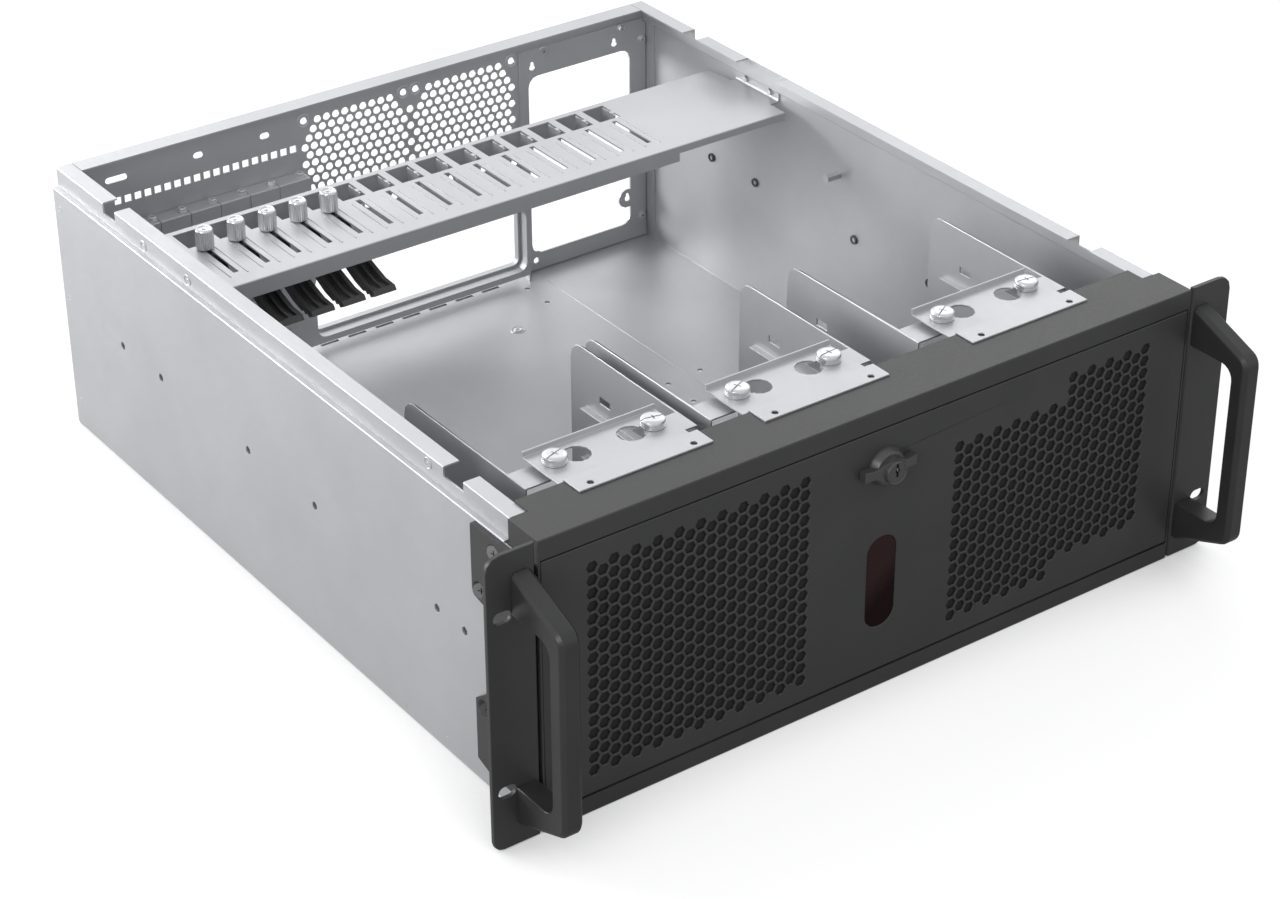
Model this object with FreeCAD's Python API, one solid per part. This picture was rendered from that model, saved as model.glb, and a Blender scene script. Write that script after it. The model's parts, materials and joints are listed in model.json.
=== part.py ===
import FreeCAD
import Part
import math
import os

# Empty four-unit rackmount server case, top cover off.
# Millimetres. x to the right seen from the front, y to the back, z up.
# Origin: middle of the case's width, in the plane of the bezel's front face and of the underside.

Vector = FreeCAD.Vector

# Flats that small holes, screw heads, round pieces that turn, and corners are drawn with
small_flat_count = 6
head_flat_count = 12
turning_flat_count = 16
corner_flat_count = 3
smooth_flat_count = 5

# Distance within which two places are the same
same_place = 1e-6

# Outside sizes and sheet
case_height = 171.0
case_depth = 498.8
sheet = 1.0

# Zones of the rear wall between the side walls: cards, fans with connectors, power supply
slot_pitch = 20.32
cover_count = 7
slot_zone_margin = 20.86
fan_size = 80.0
fan_gap = 0.4
fan_zone_trim = 1.0
supply_zone_width = 101.7
slot_zone_width = cover_count * slot_pitch + slot_zone_margin
fan_zone_width = 2 * fan_size + fan_gap - fan_zone_trim
wall_inside = (slot_zone_width + fan_zone_width + supply_zone_width) / 2
case_half_width = wall_inside + sheet
slot_zone_right = slot_zone_width - wall_inside
io_zone_right = slot_zone_right + fan_zone_width

# Side walls and top rails
rail_drop = 1.2
rail_height = 11.7
rail_inset = 3.5
rail_flange = 9.6
bend_radius = 1.4
tray_front = 3.0
rail_front = 27.0
rail_top = case_height - rail_drop
rim_height = rail_top - rail_height
rear_notch_to_rear = 57.3
rear_notch_length = 14.5
rear_notch_drop = 6.5
front_notch_start = 67.0
front_notch_length = 18.0
front_notch_drop = 5.8
wall_hole_radius = 2.25
wall_hole_height = case_height / 2
wall_hole_1_y = 65.0
wall_hole_2_y = 90.4
wall_hole_3_y = 210.0
wall_hole_4_y = 280.7
wall_hole_5_to_rear = 119.1
wall_hole_6_to_rear = 73.3
wall_hole_ys = (
    wall_hole_1_y,
    wall_hole_2_y,
    wall_hole_3_y,
    wall_hole_4_y,
    case_depth - wall_hole_5_to_rear,
    case_depth - wall_hole_6_to_rear,
)

# Floor: screw holes in a column left and a pair right of the connector zone's end, and a row of slots
floor_hole_radius = 1.6
floor_hole_column = -8.3
floor_hole_right = 18.1
floor_hole_1_to_rear = 20.0
floor_hole_2_to_rear = 42.9
floor_hole_3_to_rear = 175.3
floor_hole_4_to_rear = 201.6
floor_hole_5_to_rear = 172.9
floor_hole_6_to_rear = 193.3
floor_holes = (
    (floor_hole_column, floor_hole_1_to_rear),
    (floor_hole_column, floor_hole_2_to_rear),
    (floor_hole_column, floor_hole_3_to_rear),
    (floor_hole_column, floor_hole_4_to_rear),
    (floor_hole_right, floor_hole_5_to_rear),
    (floor_hole_right, floor_hole_6_to_rear),
)
floor_slot_length = 13.0
floor_slot_width = 2.6
floor_slot_margin = 9.62
floor_slot_setback = 4.0

# Rear wall
slot_plane_setback = 11.8
slot_ledge_drop = 48.2
low_plane_bottom = 5.5
io_ledge_height = 60.0
top_flange_depth = 12.3
top_flange_margin = 9.0
side_return_bottom = 12.0
side_return_drop = 2.0
slot_opening_width = 13.8
slot_opening_bottom = 26.0
slot_opening_drop = 10.6
io_overhang = 1.6
io_right_margin = 2.5
io_bottom = 9.7
io_top_drop = 5.8
io_step_depth = 7.5
io_rim = 2.0
io_corner = 6.0
vent_width = 4.4
vent_tall = 4.6
vent_pitch = 6.62
vent_margin = 38.9
vent_drop = 31.9
vent_count = 19
oval_drop = 17.5
oval_width = 4.0
long_oval_margin = 39.0
long_oval_length = 14.4
middle_oval_margin = 93.6
right_oval_margin = 139.1
short_oval_length = 6.5
ovals = (
    (long_oval_margin, long_oval_length),
    (middle_oval_margin, short_oval_length),
    (right_oval_margin, short_oval_length),
)
fan_edge = 0.9
fan_drop = 50.9
fan_hole_margin = 8.5
fan_hole_radius = 2.3
fan_grille_margin = 1.8
fan_grille_pitch = 15.6
fan_grille_hole = 11.5
supply_opening_left = 4.1
supply_opening_right = 5.6
supply_opening_bottom = 2.0
supply_opening_rise = 5.0
slot_plane = case_depth - slot_plane_setback
rear_inside = case_depth - sheet
slot_ledge_height = rail_top - slot_ledge_drop
slot_opening_top = slot_ledge_height - slot_opening_drop
vent_height = rail_top - vent_drop
oval_height = rail_top - oval_drop
floor_slot_front = slot_plane + floor_slot_setback
io_left = slot_zone_right - io_overhang
io_right = io_zone_right - io_right_margin
io_top = io_ledge_height - io_top_drop
first_fan_x = slot_zone_right + fan_size / 2 - fan_edge
fan_centres = (first_fan_x, first_fan_x + fan_size + fan_gap)
fan_height = rail_top - fan_drop
fan_hole_spacing = fan_size - fan_hole_margin
fan_grille_radius = fan_size / 2 - fan_grille_margin

# Power supply mounting plate, standard bolt places
psu_plate_thickness = 1.2
psu_plate_gap = 1.0
psu_side_gap = 1.5
psu_plate_bottom = 1.6
psu_plate_rise = 0.9
psu_plate_rail_gap = 0.3
psu_window_left_margin = 7.1
psu_window_right_margin = 12.6
psu_window_bottom = 13.5
psu_window_top_margin = 19.0
psu_window_corner = 7.0
psu_bolt_left_margin = 10.0
psu_bolt_top_margin = 12.5
psu_bolt_span = 64.0
psu_low_bolt_shift = 74.0
psu_low_bolt_rise = 24.0
psu_bolt_height_margin = 19.4
psu_bolt_radius = 2.0
psu_ear_radius = 6.5
psu_screw_radius = 2.6
psu_screw_head = 2.0
psu_screw_top_margin = 3.0
psu_screw_side_margin = 3.6
psu_screw_shift = 8.3
psu_screw_span = 61.0
psu_screw_low = 16.9
psu_screw_drop = 2.2
psu_plate_left = io_zone_right + psu_plate_gap
psu_plate_right = wall_inside - psu_side_gap
psu_plate_top = rim_height + psu_plate_rise
psu_bolt_x = psu_plate_left + psu_bolt_left_margin
psu_bolt_z = psu_plate_top - psu_bolt_top_margin
psu_bolt_drop = psu_plate_top - psu_plate_bottom - psu_bolt_height_margin

# Slot covers
cover_thickness = 1.0
first_cover_margin = 24.2
blade_width = 18.4
blade_bottom = 24.0
tongue_width = 9.3
tongue_bottom = 14.0
cover_head_shift = 4.9
cover_head_width = 20.0
cover_head_drop = 9.6
cover_tab_depth = 10.5
cover_screw_shift = 12.3
cover_screw_setback = 5.0
cover_screw_radius = 3.1
cover_screw_height = 2.2
first_cover_x = first_cover_margin - wall_inside

# Card hold-down bar
bar_slot_count = 15
bar_slot_shift = 15.62
bar_drop = 9.1
bar_to_rear = 77.8
bar_depth = 79.0
bar_end_gap = 7.6
bar_foot_front_margin = 15.0
bar_foot_rear_margin = 21.0
bar_foot_height = 7.0
bar_foot_bend = 2.2
bar_lip_depth = 9.3
bar_short_lip_depth = 4.0
bar_short_lip_margin = 11.8
bar_corner_gap = 5.2
bar_corner_margin = 15.0
slot_width = 3.3
slot_front_margin = 14.7
slot_rear_margin = 27.0
window_width = 15.4
window_front_margin = 23.5
window_rear_margin = 4.0
ridge_shift = 5.5
ridge_width = 0.8
ridge_height = 0.4
ridge_front_margin = 11.0
ridge_rear_margin = 30.0
bar_screw_front_margin = 8.3
bar_screw_rear_margin = 10.4
bar_screw_rise = 4.9
bar_screw_radius = 2.1
bar_screw_head = 1.8
flange_gap_start = 3.0
flange_gap_length = 41.0
bar_height = rim_height - bar_drop
bar_top = bar_height + sheet
bar_rear = case_depth - bar_to_rear
bar_front = bar_rear - bar_depth
bar_half_length = wall_inside - bar_end_gap
bar_foot_front = bar_front + bar_foot_front_margin
bar_foot_rear = bar_rear - bar_foot_rear_margin
first_bar_slot_x = first_cover_x + bar_slot_shift
last_bar_slot_x = first_bar_slot_x + (bar_slot_count - 1) * slot_pitch

# Card clamps and their thumbscrews. The clamp's side view is given in shares of its length and drop
clamp_count = 5
clamp_width = 15.0
clamp_wall = 3.0
clamp_rib = 1.6
clamp_gap = 0.2
clamp_length = 59.5
clamp_drop = 29.9
clamp_screw_margin = 2.0
clamp_outline = (
    (-0.101, 0.0),
    (0.118, 0.0),
    (0.235, 0.351),
    (0.555, 0.652),
    (0.807, 0.813),
    (0.966, 0.826),
    (1.0, 0.92),
    (0.924, 1.0),
    (0.891, 0.943),
    (0.857, 0.993),
    (0.824, 0.936),
    (0.79, 0.977),
    (0.639, 0.903),
    (0.471, 0.749),
    (0.168, 0.401),
    (-0.101, 0.268),
)
clamp_pocket = (
    (0.261, 0.401),
    (0.555, -0.033),
    (0.941, -0.033),
    (0.941, 0.87),
    (0.79, 0.876),
    (0.639, 0.809),
    (0.471, 0.656),
)
thumb_radius = 5.25
thumb_height = 12.5
thumb_flutes = 10
thumb_flute_depth = 0.4
thumb_shaft_radius = 1.45
thumb_shaft_length = 14.0
thumb_gap = 0.1
thumb_hole_clearance = 0.1
clamp_screw_y = bar_rear - slot_rear_margin - clamp_screw_margin

# Front frame
frame_side_gap = 1.4
frame_sheet = 1.0
frame_depth = 25.0
frame_tongue_depth = 37.0
frame_tongue_margin = 11.7
frame_floor_gap = 0.4
strip_thickness = 1.2
top_strip_height = 11.2
top_strip_lip = 8.0
bottom_strip_top = 10.4
bulkhead_inner = 44.0
bulkhead_side_margin = 21.7
bulkhead_bottom = 20.0
bulkhead_top_margin = 9.8
frame_half_width = case_half_width - frame_side_gap
top_strip_bottom = case_height - top_strip_height

# Drop-down door
door_side_gap = 1.4
door_low_gap = 1.2
door_top_gap = 1.1
door_sheet = 1.5
door_return = 8.0
hinge_y = 3.6
hinge_rise = 3.6
pin_radius = 1.5
pin_clearance = 0.05
pin_length = 6.0
door_half_width = frame_half_width - door_side_gap
door_bottom = bottom_strip_top + door_low_gap
door_top = top_strip_bottom - door_top_gap
hinge_z = door_bottom + hinge_rise

# Air grilles in the door: coarser lattice than the punched one, over the same fields
grille_pitch = 21.0
grille_hole = 16.8
grille_side_margin = 26.5
grille_inner_x = 47.9
grille_bottom_margin = 10.4
grille_top_margin = 10.7
grille_step = 15.0
grille_step_up_margin = 57.8
grille_step_down_margin = 64.8
filter_margin = 6.0
filter_thickness = 4.0
grille_outer_x = door_half_width - grille_side_margin
grille_bottom = door_bottom + grille_bottom_margin
grille_top = door_top - grille_top_margin

# Indicator window in the door
window_x = 0.8
window_rise = 54.85
window_across = 19.6
window_tall = 55.5
window_corner_trim = 0.6
window_recess = 0.5
window_clearance = 0.1
window_flange = 3.0
window_flange_thickness = 1.2
window_z = door_bottom + window_rise

# Door lock
lock_x = 0.5
lock_drop = 21.7
lock_disc_radius = 11.0
lock_disc_front_radius = 10.0
lock_disc_depth = 5.0
lock_bar_half = 17.0
lock_bar_width = 5.4
lock_barrel_radius = 6.7
lock_barrel_front = 10.0
lock_shaft_radius = 5.0
lock_shaft_clearance = 0.3
key_slot_width = 1.5
key_slot_height = 7.6
key_slot_depth = 4.0
key_slot_rise = 1.5
cam_gap = 0.7
cam_thickness = 1.5
cam_width = 12.0
cam_reach = 26.0
cam_corner = 2.0
lock_z = door_top - lock_drop

# Rack ears
ear_reach = 28.2
ear_thickness = 2.5
ear_bottom = 0.6
ear_rise = 0.4
ear_top_corner = 8.0
ear_bottom_corner = 6.0
ear_bend = 1.2
rack_hole_margin = 8.75
rack_hole_low = 34.75
rack_hole_spacing = 101.6
rack_slot_length = 10.3
rack_slot_width = 6.8
flange_lobe_depth = 53.0
flange_waist_depth = 42.6
low_lobe_bottom = 12.8
low_lobe_top = 61.3
high_lobe_bottom_drop = 57.9
high_lobe_top_drop = 14.4
low_lobe_slope = 3.5
lobe_slant = 7.8
lobe_corner = 5.0
lobe_small_corner = 1.7
ear_high_screw_y = 33.0
ear_high_screw_drop = 22.8
ear_middle_screw_y = 46.8
ear_middle_screw_drop = 50.8
ear_low_screw_y = 46.1
ear_low_screw_z = 50.5
ear_screw_tip_radius = 2.2
ear_screw_radius = 4.6
ear_screw_clearance = 0.1
ear_outer = case_half_width + ear_reach
ear_top = case_height + ear_rise
rack_hole_x = ear_outer - rack_hole_margin
ear_screw_places = (
    (ear_high_screw_y, ear_top - ear_high_screw_drop),
    (ear_middle_screw_y, ear_top - ear_middle_screw_drop),
    (ear_low_screw_y, ear_low_screw_z),
)

# Handles
handle_gap = 2.2
handle_width = 12.0
handle_centre_drop = 0.2
handle_reach = 41.0
handle_grip = 10.0
handle_end_margin = 11.5
handle_slope = 16.15
handle_foot = 23.8
handle_outer_corner = 9.0
handle_inner_corner = 8.0
handle_chamfer = 2.2
handle_screw_margin = 12.0
handle_screw_radius = 4.0
handle_screw_head = 2.5
handle_inner_x = case_half_width + handle_gap
handle_centre_z = case_height / 2 - handle_centre_drop
handle_root_half = case_height / 2 - handle_end_margin
handle_front_half = handle_root_half - handle_slope
handle_opening_half = handle_root_half - handle_foot

# Drive cages
cage_half_width = 52.2
cage_left_margin = 29.1
cage_gap = 8.1
cage_right_margin = 41.8
cage_front = 53.0
cage_rear = 164.0
cage_drop = 8.0
cage_corner = 10.0
cage_flange_rear = 70.0
cage_flange_inner = 22.0
guide_first = 38.0
guide_step = 30.0
guide_count = 4
guide_reach = 4.0
guide_front = 95.0
guide_rear = 150.0
drive_hole_y = 133.0
drive_hole_drop = 24.7
drive_hole_length = 9.0
drive_hole_width = 4.0
cage_top = case_height - cage_drop
left_cage_x = cage_left_margin + cage_half_width - wall_inside
middle_cage_x = left_cage_x + 2 * cage_half_width + cage_gap
right_cage_x = wall_inside - cage_right_margin - cage_half_width
cage_centres = (left_cage_x, middle_cage_x, right_cage_x)

# Top plates that tie the cages to the front frame
plate_half_width = 40.2
plate_lift = 3.0
plate_rear = 74.0
plate_lip = 4.0
plate_tab_front = 24.0
plate_joggle_run = 3.0
plate_joggle_ease = 0.6
keyhole_radius = 7.25
keyhole_x = 16.5
keyhole_slot_x = 29.7
keyhole_y = 60.5
keyhole_slot_width = 6.0
tab_hole_x = 31.0
tab_hole_y = 28.0
tab_hole_radius = 1.75
collar_radius = 4.5
neck_radius = 2.6
knob_radius = 6.5
knob_height = 5.0

# Standoff on the right wall
standoff_y = 298.0
standoff_drop = 35.1
standoff_radius = 2.5
standoff_length = 10.0

axes = {"x": Vector(1, 0, 0), "y": Vector(0, 1, 0), "z": Vector(0, 0, 1)}


def point(plane, u, v):
    """A point of a plane square to x, y or z, from its two other coordinates in x, y, z order."""
    axis, along = plane
    if axis == "x":
        return Vector(along, u, v)
    if axis == "y":
        return Vector(u, along, v)
    return Vector(u, v, along)


def outline(plane, places):
    """Closed outline straight from place to place."""
    corners = [point(plane, u, v) for u, v in places]
    return Part.makePolygon([*corners, corners[0]])


def loop(plane, corners, flats=corner_flat_count):
    """Closed outline through corners (u, v) or, rounded by some flats, (u, v, radius)."""
    places = []
    count = len(corners)
    for i, corner in enumerate(corners):
        here = Vector(corner[0], corner[1], 0)
        if len(corner) == 2:
            places.append((here.x, here.y))
            continue
        before = (Vector(corners[i - 1][0], corners[i - 1][1], 0) - here).normalize()
        following = corners[(i + 1) % count]
        after = (Vector(following[0], following[1], 0) - here).normalize()
        half_angle = before.getAngle(after) / 2
        centre = here + (before + after).normalize() * (corner[2] / math.sin(half_angle))
        first = here + before * (corner[2] / math.tan(half_angle)) - centre
        last = here + after * (corner[2] / math.tan(half_angle)) - centre
        turn = math.pi - 2 * half_angle
        for step in range(flats + 1):
            share = step / flats
            arm = first * (math.sin((1 - share) * turn) / math.sin(turn))
            arm += last * (math.sin(share * turn) / math.sin(turn))
            place = centre + arm
            if not places or abs(place.x - places[-1][0]) + abs(place.y - places[-1][1]) > same_place:
                places.append((place.x, place.y))
    if abs(places[0][0] - places[-1][0]) + abs(places[0][1] - places[-1][1]) < same_place:
        places.pop()
    return outline(plane, places)


def rectangle(plane, u0, u1, v0, v1, radius=0.0, flats=corner_flat_count):
    corners = [(u0, v0), (u1, v0), (u1, v1), (u0, v1)]
    if radius:
        corners = [(u, v, radius) for u, v in corners]
    return loop(plane, corners, flats)


def obround(plane, u, v, length, width):
    """Slot outline drawn in flats, its length along the plane's first coordinate."""
    return rectangle(plane, u - length / 2, u + length / 2, v - width / 2, v + width / 2, width / 2)


def round_slot(plane, u, v, length, width):
    """Slot outline with true round ends, its length along the plane's first coordinate."""
    half = (length - width) / 2
    radius = width / 2
    ends = []
    for side in (-1, 1):
        middle = u + side * half
        first = point(plane, middle, v - side * radius)
        far = point(plane, middle + side * radius, v)
        last = point(plane, middle, v + side * radius)
        ends.append(Part.Arc(first, far, last).toShape())
    low = Part.makeLine(point(plane, u - half, v - radius), point(plane, u + half, v - radius))
    high = Part.makeLine(point(plane, u - half, v + radius), point(plane, u + half, v + radius))
    return Part.Wire(Part.__sortEdges__([*ends, low, high]))


def circle(plane, u, v, radius):
    return Part.Wire(Part.makeCircle(radius, point(plane, u, v), axes[plane[0]]))


def ring(u, v, radius, flats):
    """Corners of a regular outline whose flats touch the circle from outside."""
    reach = radius / math.cos(math.pi / flats)
    turns = [2 * math.pi * (i + 0.5) / flats for i in range(flats)]
    return [(u + reach * math.cos(a), v + reach * math.sin(a)) for a in turns]


def small_round(plane, u, v, radius, flats=small_flat_count):
    """Outline of a small hole or head."""
    return outline(plane, ring(u, v, radius, flats))


def stud(plane, u, v, radius, depth, flats=small_flat_count):
    """Small head, shank or hole cutter."""
    return slab(plane, depth, small_round(plane, u, v, radius, flats))


def hexagon(plane, u, v, across_flats):
    """Hexagon with its corners left and right."""
    reach = across_flats / math.sqrt(3)
    turns = [math.radians(60 * i) for i in range(6)]
    return outline(plane, [(u + reach * math.cos(a), v + reach * math.sin(a)) for a in turns])


def slab(plane, depth, outer, holes=()):
    """Flat sheet: an outline with holes, drawn in a plane and raised along its axis."""
    face = Part.makeFace([outer, *holes], "Part::FaceMakerBullseye")
    return face.extrude(axes[plane[0]] * depth)


def block(x0, x1, y0, y1, z0, z1):
    return Part.makeBox(x1 - x0, y1 - y0, z1 - z0, Vector(x0, y0, z0))


def joined(shapes):
    """One solid from pieces that share faces, with the seams between flush faces taken out."""
    whole = shapes[0].fuse(shapes[1:]).removeSplitter()
    return whole.Solids[0] if len(whole.Solids) == 1 else whole


def less(shape, cuts):
    """The one solid that is left when all cuts are taken from a shape."""
    return shape.cut(Part.makeCompound(cuts)).removeSplitter().Solids[0]


def mirrored(shape):
    return shape.mirror(Vector(0, 0, 0), Vector(1, 0, 0))


def both_sides(shape):
    return [shape, mirrored(shape)]


def frustum(plane, u, v, radius, far_radius, depth, flats=turning_flat_count):
    """Flat-sided cone whose far end has another radius; a negative depth goes against the axis."""
    axis, along = plane
    near = [point(plane, *place) for place in ring(u, v, radius, flats)]
    far = [point((axis, along + depth), *place) for place in ring(u, v, far_radius, flats)]
    outlines = [near, far]
    for i in range(flats):
        following = (i + 1) % flats
        outlines.append([near[i], near[following], far[following], far[i]])
    faces = [Part.Face(Part.makePolygon([*corners, corners[0]])) for corners in outlines]
    solid = Part.makeSolid(Part.makeShell(faces))
    if solid.Volume < 0:
        solid.reverse()
    return solid


def slot_xs(first, count):
    """Places along x at the card pitch."""
    return [first + k * slot_pitch for k in range(count)]


def base_tray():
    """Floor, side walls and top rails, folded from one sheet."""
    rail_out = case_half_width - rail_inset
    flange_edge = rail_out - rail_flange
    half = [
        (case_half_width, 0.0, bend_radius),
        (case_half_width, rim_height),
        (rail_out, rim_height),
        (rail_out, rail_top),
        (flange_edge, rail_top),
        (flange_edge, rail_top - sheet),
        (rail_out - sheet, rail_top - sheet),
        (rail_out - sheet, rim_height - sheet),
        (wall_inside, rim_height - sheet),
        (wall_inside, sheet, bend_radius - sheet),
    ]
    other_half = [(-corner[0], *corner[1:]) for corner in reversed(half)]
    plane = ("y", tray_front)
    tray = slab(plane, case_depth - tray_front, loop(plane, half + other_half))

    floor_front = frame_depth + frame_floor_gap
    cuts = [block(-wall_inside, wall_inside, 0, floor_front, -sheet, 2 * sheet)]
    rail_start = flange_edge - sheet
    above = rail_top + sheet
    below = -sheet
    notch_end = case_depth - rear_notch_to_rear
    notches = (
        (notch_end - rear_notch_length, notch_end, rear_notch_drop),
        (front_notch_start, front_notch_start + front_notch_length, front_notch_drop),
    )
    for start, end, drop in notches:
        cuts += both_sides(block(rail_start, case_half_width, start, end, rail_top - drop, above))
    front_cut = block(rail_start, case_half_width + sheet, 0, rail_front, rim_height - sheet, above)
    cuts += both_sides(front_cut)
    gap_front = bar_front + flange_gap_start
    gap_rear = gap_front + flange_gap_length
    cuts.append(block(rail_start, rail_out - sheet, gap_front, gap_rear, rail_top - sheet, above))
    hole_plane = ("x", wall_inside - sheet)
    for y in wall_hole_ys:
        cuts += both_sides(stud(hole_plane, y, wall_hole_height, wall_hole_radius, 3 * sheet))
    for dx, to_rear in floor_holes:
        x = io_zone_right + dx
        cuts.append(stud(("z", below), x, case_depth - to_rear, floor_hole_radius, 3 * sheet))
    half_slot = floor_slot_length / 2
    slot_rear = floor_slot_front + floor_slot_width
    for x in slot_xs(floor_slot_margin - wall_inside, bar_slot_count):
        cuts.append(block(x - half_slot, x + half_slot, floor_slot_front, slot_rear, below, 2 * sheet))
    return less(tray, cuts)


def fan_grille(plane):
    """Lattice of holes in a round field behind each fan."""
    row_step = fan_grille_pitch * math.sin(math.radians(60))
    centre_limit = fan_grille_radius - fan_grille_hole / math.sqrt(3)
    rows = int(centre_limit / row_step)
    holes = []
    for row in range(-rows, rows + 1):
        shift = fan_grille_pitch / 2 if row % 2 else 0.0
        reach = math.sqrt(centre_limit**2 - (row * row_step) ** 2)
        first = math.ceil((-reach - shift) / fan_grille_pitch)
        last = math.floor((reach - shift) / fan_grille_pitch)
        z = fan_height + row * row_step
        for centre in fan_centres:
            for i in range(first, last + 1):
                holes.append(hexagon(plane, centre + shift + i * fan_grille_pitch, z, fan_grille_hole))
    return holes


def upper_wall():
    """Upper plane of the rear wall: fan grilles, vents and the power supply's opening."""
    plane = ("y", rear_inside)
    corners = [
        (-wall_inside, slot_ledge_height - sheet),
        (slot_zone_right, slot_ledge_height - sheet),
        (slot_zone_right, io_ledge_height - sheet),
        (io_zone_right, io_ledge_height - sheet),
        (io_zone_right, sheet),
        (wall_inside, sheet, bend_radius),
        (wall_inside, rail_top),
        (-wall_inside, rail_top),
    ]
    holes = fan_grille(plane)
    for centre in fan_centres:
        for side in (-1, 1):
            for level in (-1, 1):
                x = centre + side * fan_hole_spacing / 2
                z = fan_height + level * fan_hole_spacing / 2
                holes.append(circle(plane, x, z, fan_hole_radius))
    low = vent_height - vent_tall / 2
    high = vent_height + vent_tall / 2
    for i in range(vent_count):
        x = vent_margin - wall_inside + i * vent_pitch
        holes.append(rectangle(plane, x - vent_width / 2, x + vent_width / 2, low, high))
    for margin, length in ovals:
        holes.append(obround(plane, margin - wall_inside, oval_height, length, oval_width))
    left = psu_plate_left + supply_opening_left
    right = psu_plate_right - supply_opening_right
    bottom = psu_plate_bottom + supply_opening_bottom
    top = psu_bolt_z + supply_opening_rise
    holes.append(rectangle(plane, left, right, bottom, top, psu_window_corner))
    return slab(plane, sheet, loop(plane, corners), holes)


def lower_wall():
    """Recessed plane of the rear wall, with the card slots and the connector opening."""
    plane = ("y", slot_plane)
    corners = [
        (-wall_inside, low_plane_bottom),
        (io_zone_right, low_plane_bottom),
        (io_zone_right, io_ledge_height),
        (slot_zone_right, io_ledge_height),
        (slot_zone_right, slot_ledge_height),
        (-wall_inside, slot_ledge_height),
    ]
    holes = [rectangle(plane, io_left, io_right, io_bottom, io_top, io_corner)]
    half = slot_opening_width / 2
    for x in slot_xs(first_cover_x, cover_count):
        holes.append(rectangle(plane, x - half, x + half, slot_opening_bottom, slot_opening_top))
    return slab(plane, sheet, loop(plane, corners), holes)


def io_frame():
    """Stepped frame of the connector opening: wall backwards, rim inwards, lip to the case's rear."""
    step = ("y", slot_plane + sheet)
    size = (io_left, io_right, io_bottom, io_top)
    wide = (io_left - sheet, io_right + sheet, io_bottom - sheet, io_top + sheet)
    outer_corner = io_corner + sheet
    wall = slab(
        step,
        io_step_depth - sheet,
        rectangle(step, *wide, outer_corner),
        [rectangle(step, *size, io_corner)],
    )
    mouth = (io_left + io_rim, io_right - io_rim, io_bottom + io_rim, io_top - io_rim)
    mouth_corner = io_corner - io_rim
    rim_plane = ("y", slot_plane + io_step_depth)
    rim = slab(
        rim_plane,
        sheet,
        rectangle(rim_plane, *wide, outer_corner),
        [rectangle(rim_plane, *mouth, mouth_corner)],
    )
    lip_plane = ("y", slot_plane + io_step_depth + sheet)
    lip_size = (mouth[0] - sheet, mouth[1] + sheet, mouth[2] - sheet, mouth[3] + sheet)
    lip = slab(
        lip_plane,
        case_depth - lip_plane[1],
        rectangle(lip_plane, *lip_size, mouth_corner + sheet),
        [rectangle(lip_plane, *mouth, mouth_corner)],
    )
    return [wall, rim, lip]


def rear_panel():
    """Rear wall: upper plane, recessed plane for cards and connectors, ledges, flanges and returns."""
    pieces = [upper_wall(), lower_wall(), *io_frame()]
    slot_ledge_low = slot_ledge_height - sheet
    io_ledge_low = io_ledge_height - sheet
    post_left = slot_zone_right - sheet
    right_post_left = io_zone_right - sheet
    pieces += [
        block(-wall_inside, slot_zone_right, slot_plane, case_depth, slot_ledge_low, slot_ledge_height),
        block(slot_zone_right, io_zone_right, slot_plane, case_depth, io_ledge_low, io_ledge_height),
        block(post_left, slot_zone_right, slot_plane, case_depth, io_ledge_low, slot_ledge_height),
        block(right_post_left, io_zone_right, slot_plane, case_depth, sheet, io_ledge_height),
    ]
    flange_front = case_depth - top_flange_depth
    inner_edge = case_half_width - rail_inset - sheet
    flange_end = inner_edge - top_flange_margin
    pieces.append(block(-flange_end, flange_end, flange_front, case_depth, rail_top - sheet, rail_top))
    return_front = slot_plane + sheet
    return_top = rim_height - side_return_drop
    return_left = wall_inside - sheet
    side_return = block(return_left, wall_inside, return_front, case_depth, side_return_bottom, return_top)
    pieces += both_sides(side_return)
    panel = joined(pieces)
    behind = case_depth + sheet
    above = rail_top + sheet
    corner_cut = block(inner_edge, case_half_width, slot_plane, behind, rim_height - sheet, above)
    flange_cut = block(flange_end, wall_inside, flange_front, behind, rail_top - sheet, above)
    return less(panel, both_sides(corner_cut) + both_sides(flange_cut))


def psu_plate():
    """Plate with the power supply's window and bolt holes, in front of the rear wall's opening."""
    depth = psu_plate_thickness
    plane = ("y", rear_inside - depth)
    rail_side = case_half_width - rail_inset - sheet - psu_plate_rail_gap
    under_rail = rim_height - sheet - psu_plate_rail_gap
    corners = [
        (psu_plate_left, psu_plate_bottom),
        (psu_plate_right, psu_plate_bottom),
        (psu_plate_right, under_rail),
        (rail_side, under_rail),
        (rail_side, psu_plate_top),
        (psu_plate_left, psu_plate_top),
    ]
    top_bolts = [circle(plane, psu_bolt_x + dx, psu_bolt_z, psu_bolt_radius) for dx in (0.0, psu_bolt_span)]
    plate = slab(plane, depth, loop(plane, corners), top_bolts)
    left = psu_plate_left + psu_window_left_margin
    right = psu_plate_right - psu_window_right_margin
    top = psu_plate_top - psu_window_top_margin
    window = slab(plane, depth, rectangle(plane, left, right, psu_window_bottom, top, psu_window_corner))
    low_z = psu_bolt_z - psu_bolt_drop
    low_bolts = ((psu_bolt_x + psu_low_bolt_shift, low_z + psu_low_bolt_rise), (psu_bolt_x, low_z))
    ears = [stud(plane, x, z, psu_ear_radius, depth, head_flat_count) for x, z in low_bolts]
    holes = [stud(plane, x, z, psu_bolt_radius, depth) for x, z in low_bolts]
    return less(plate, [less(window, ears), *holes])


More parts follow.
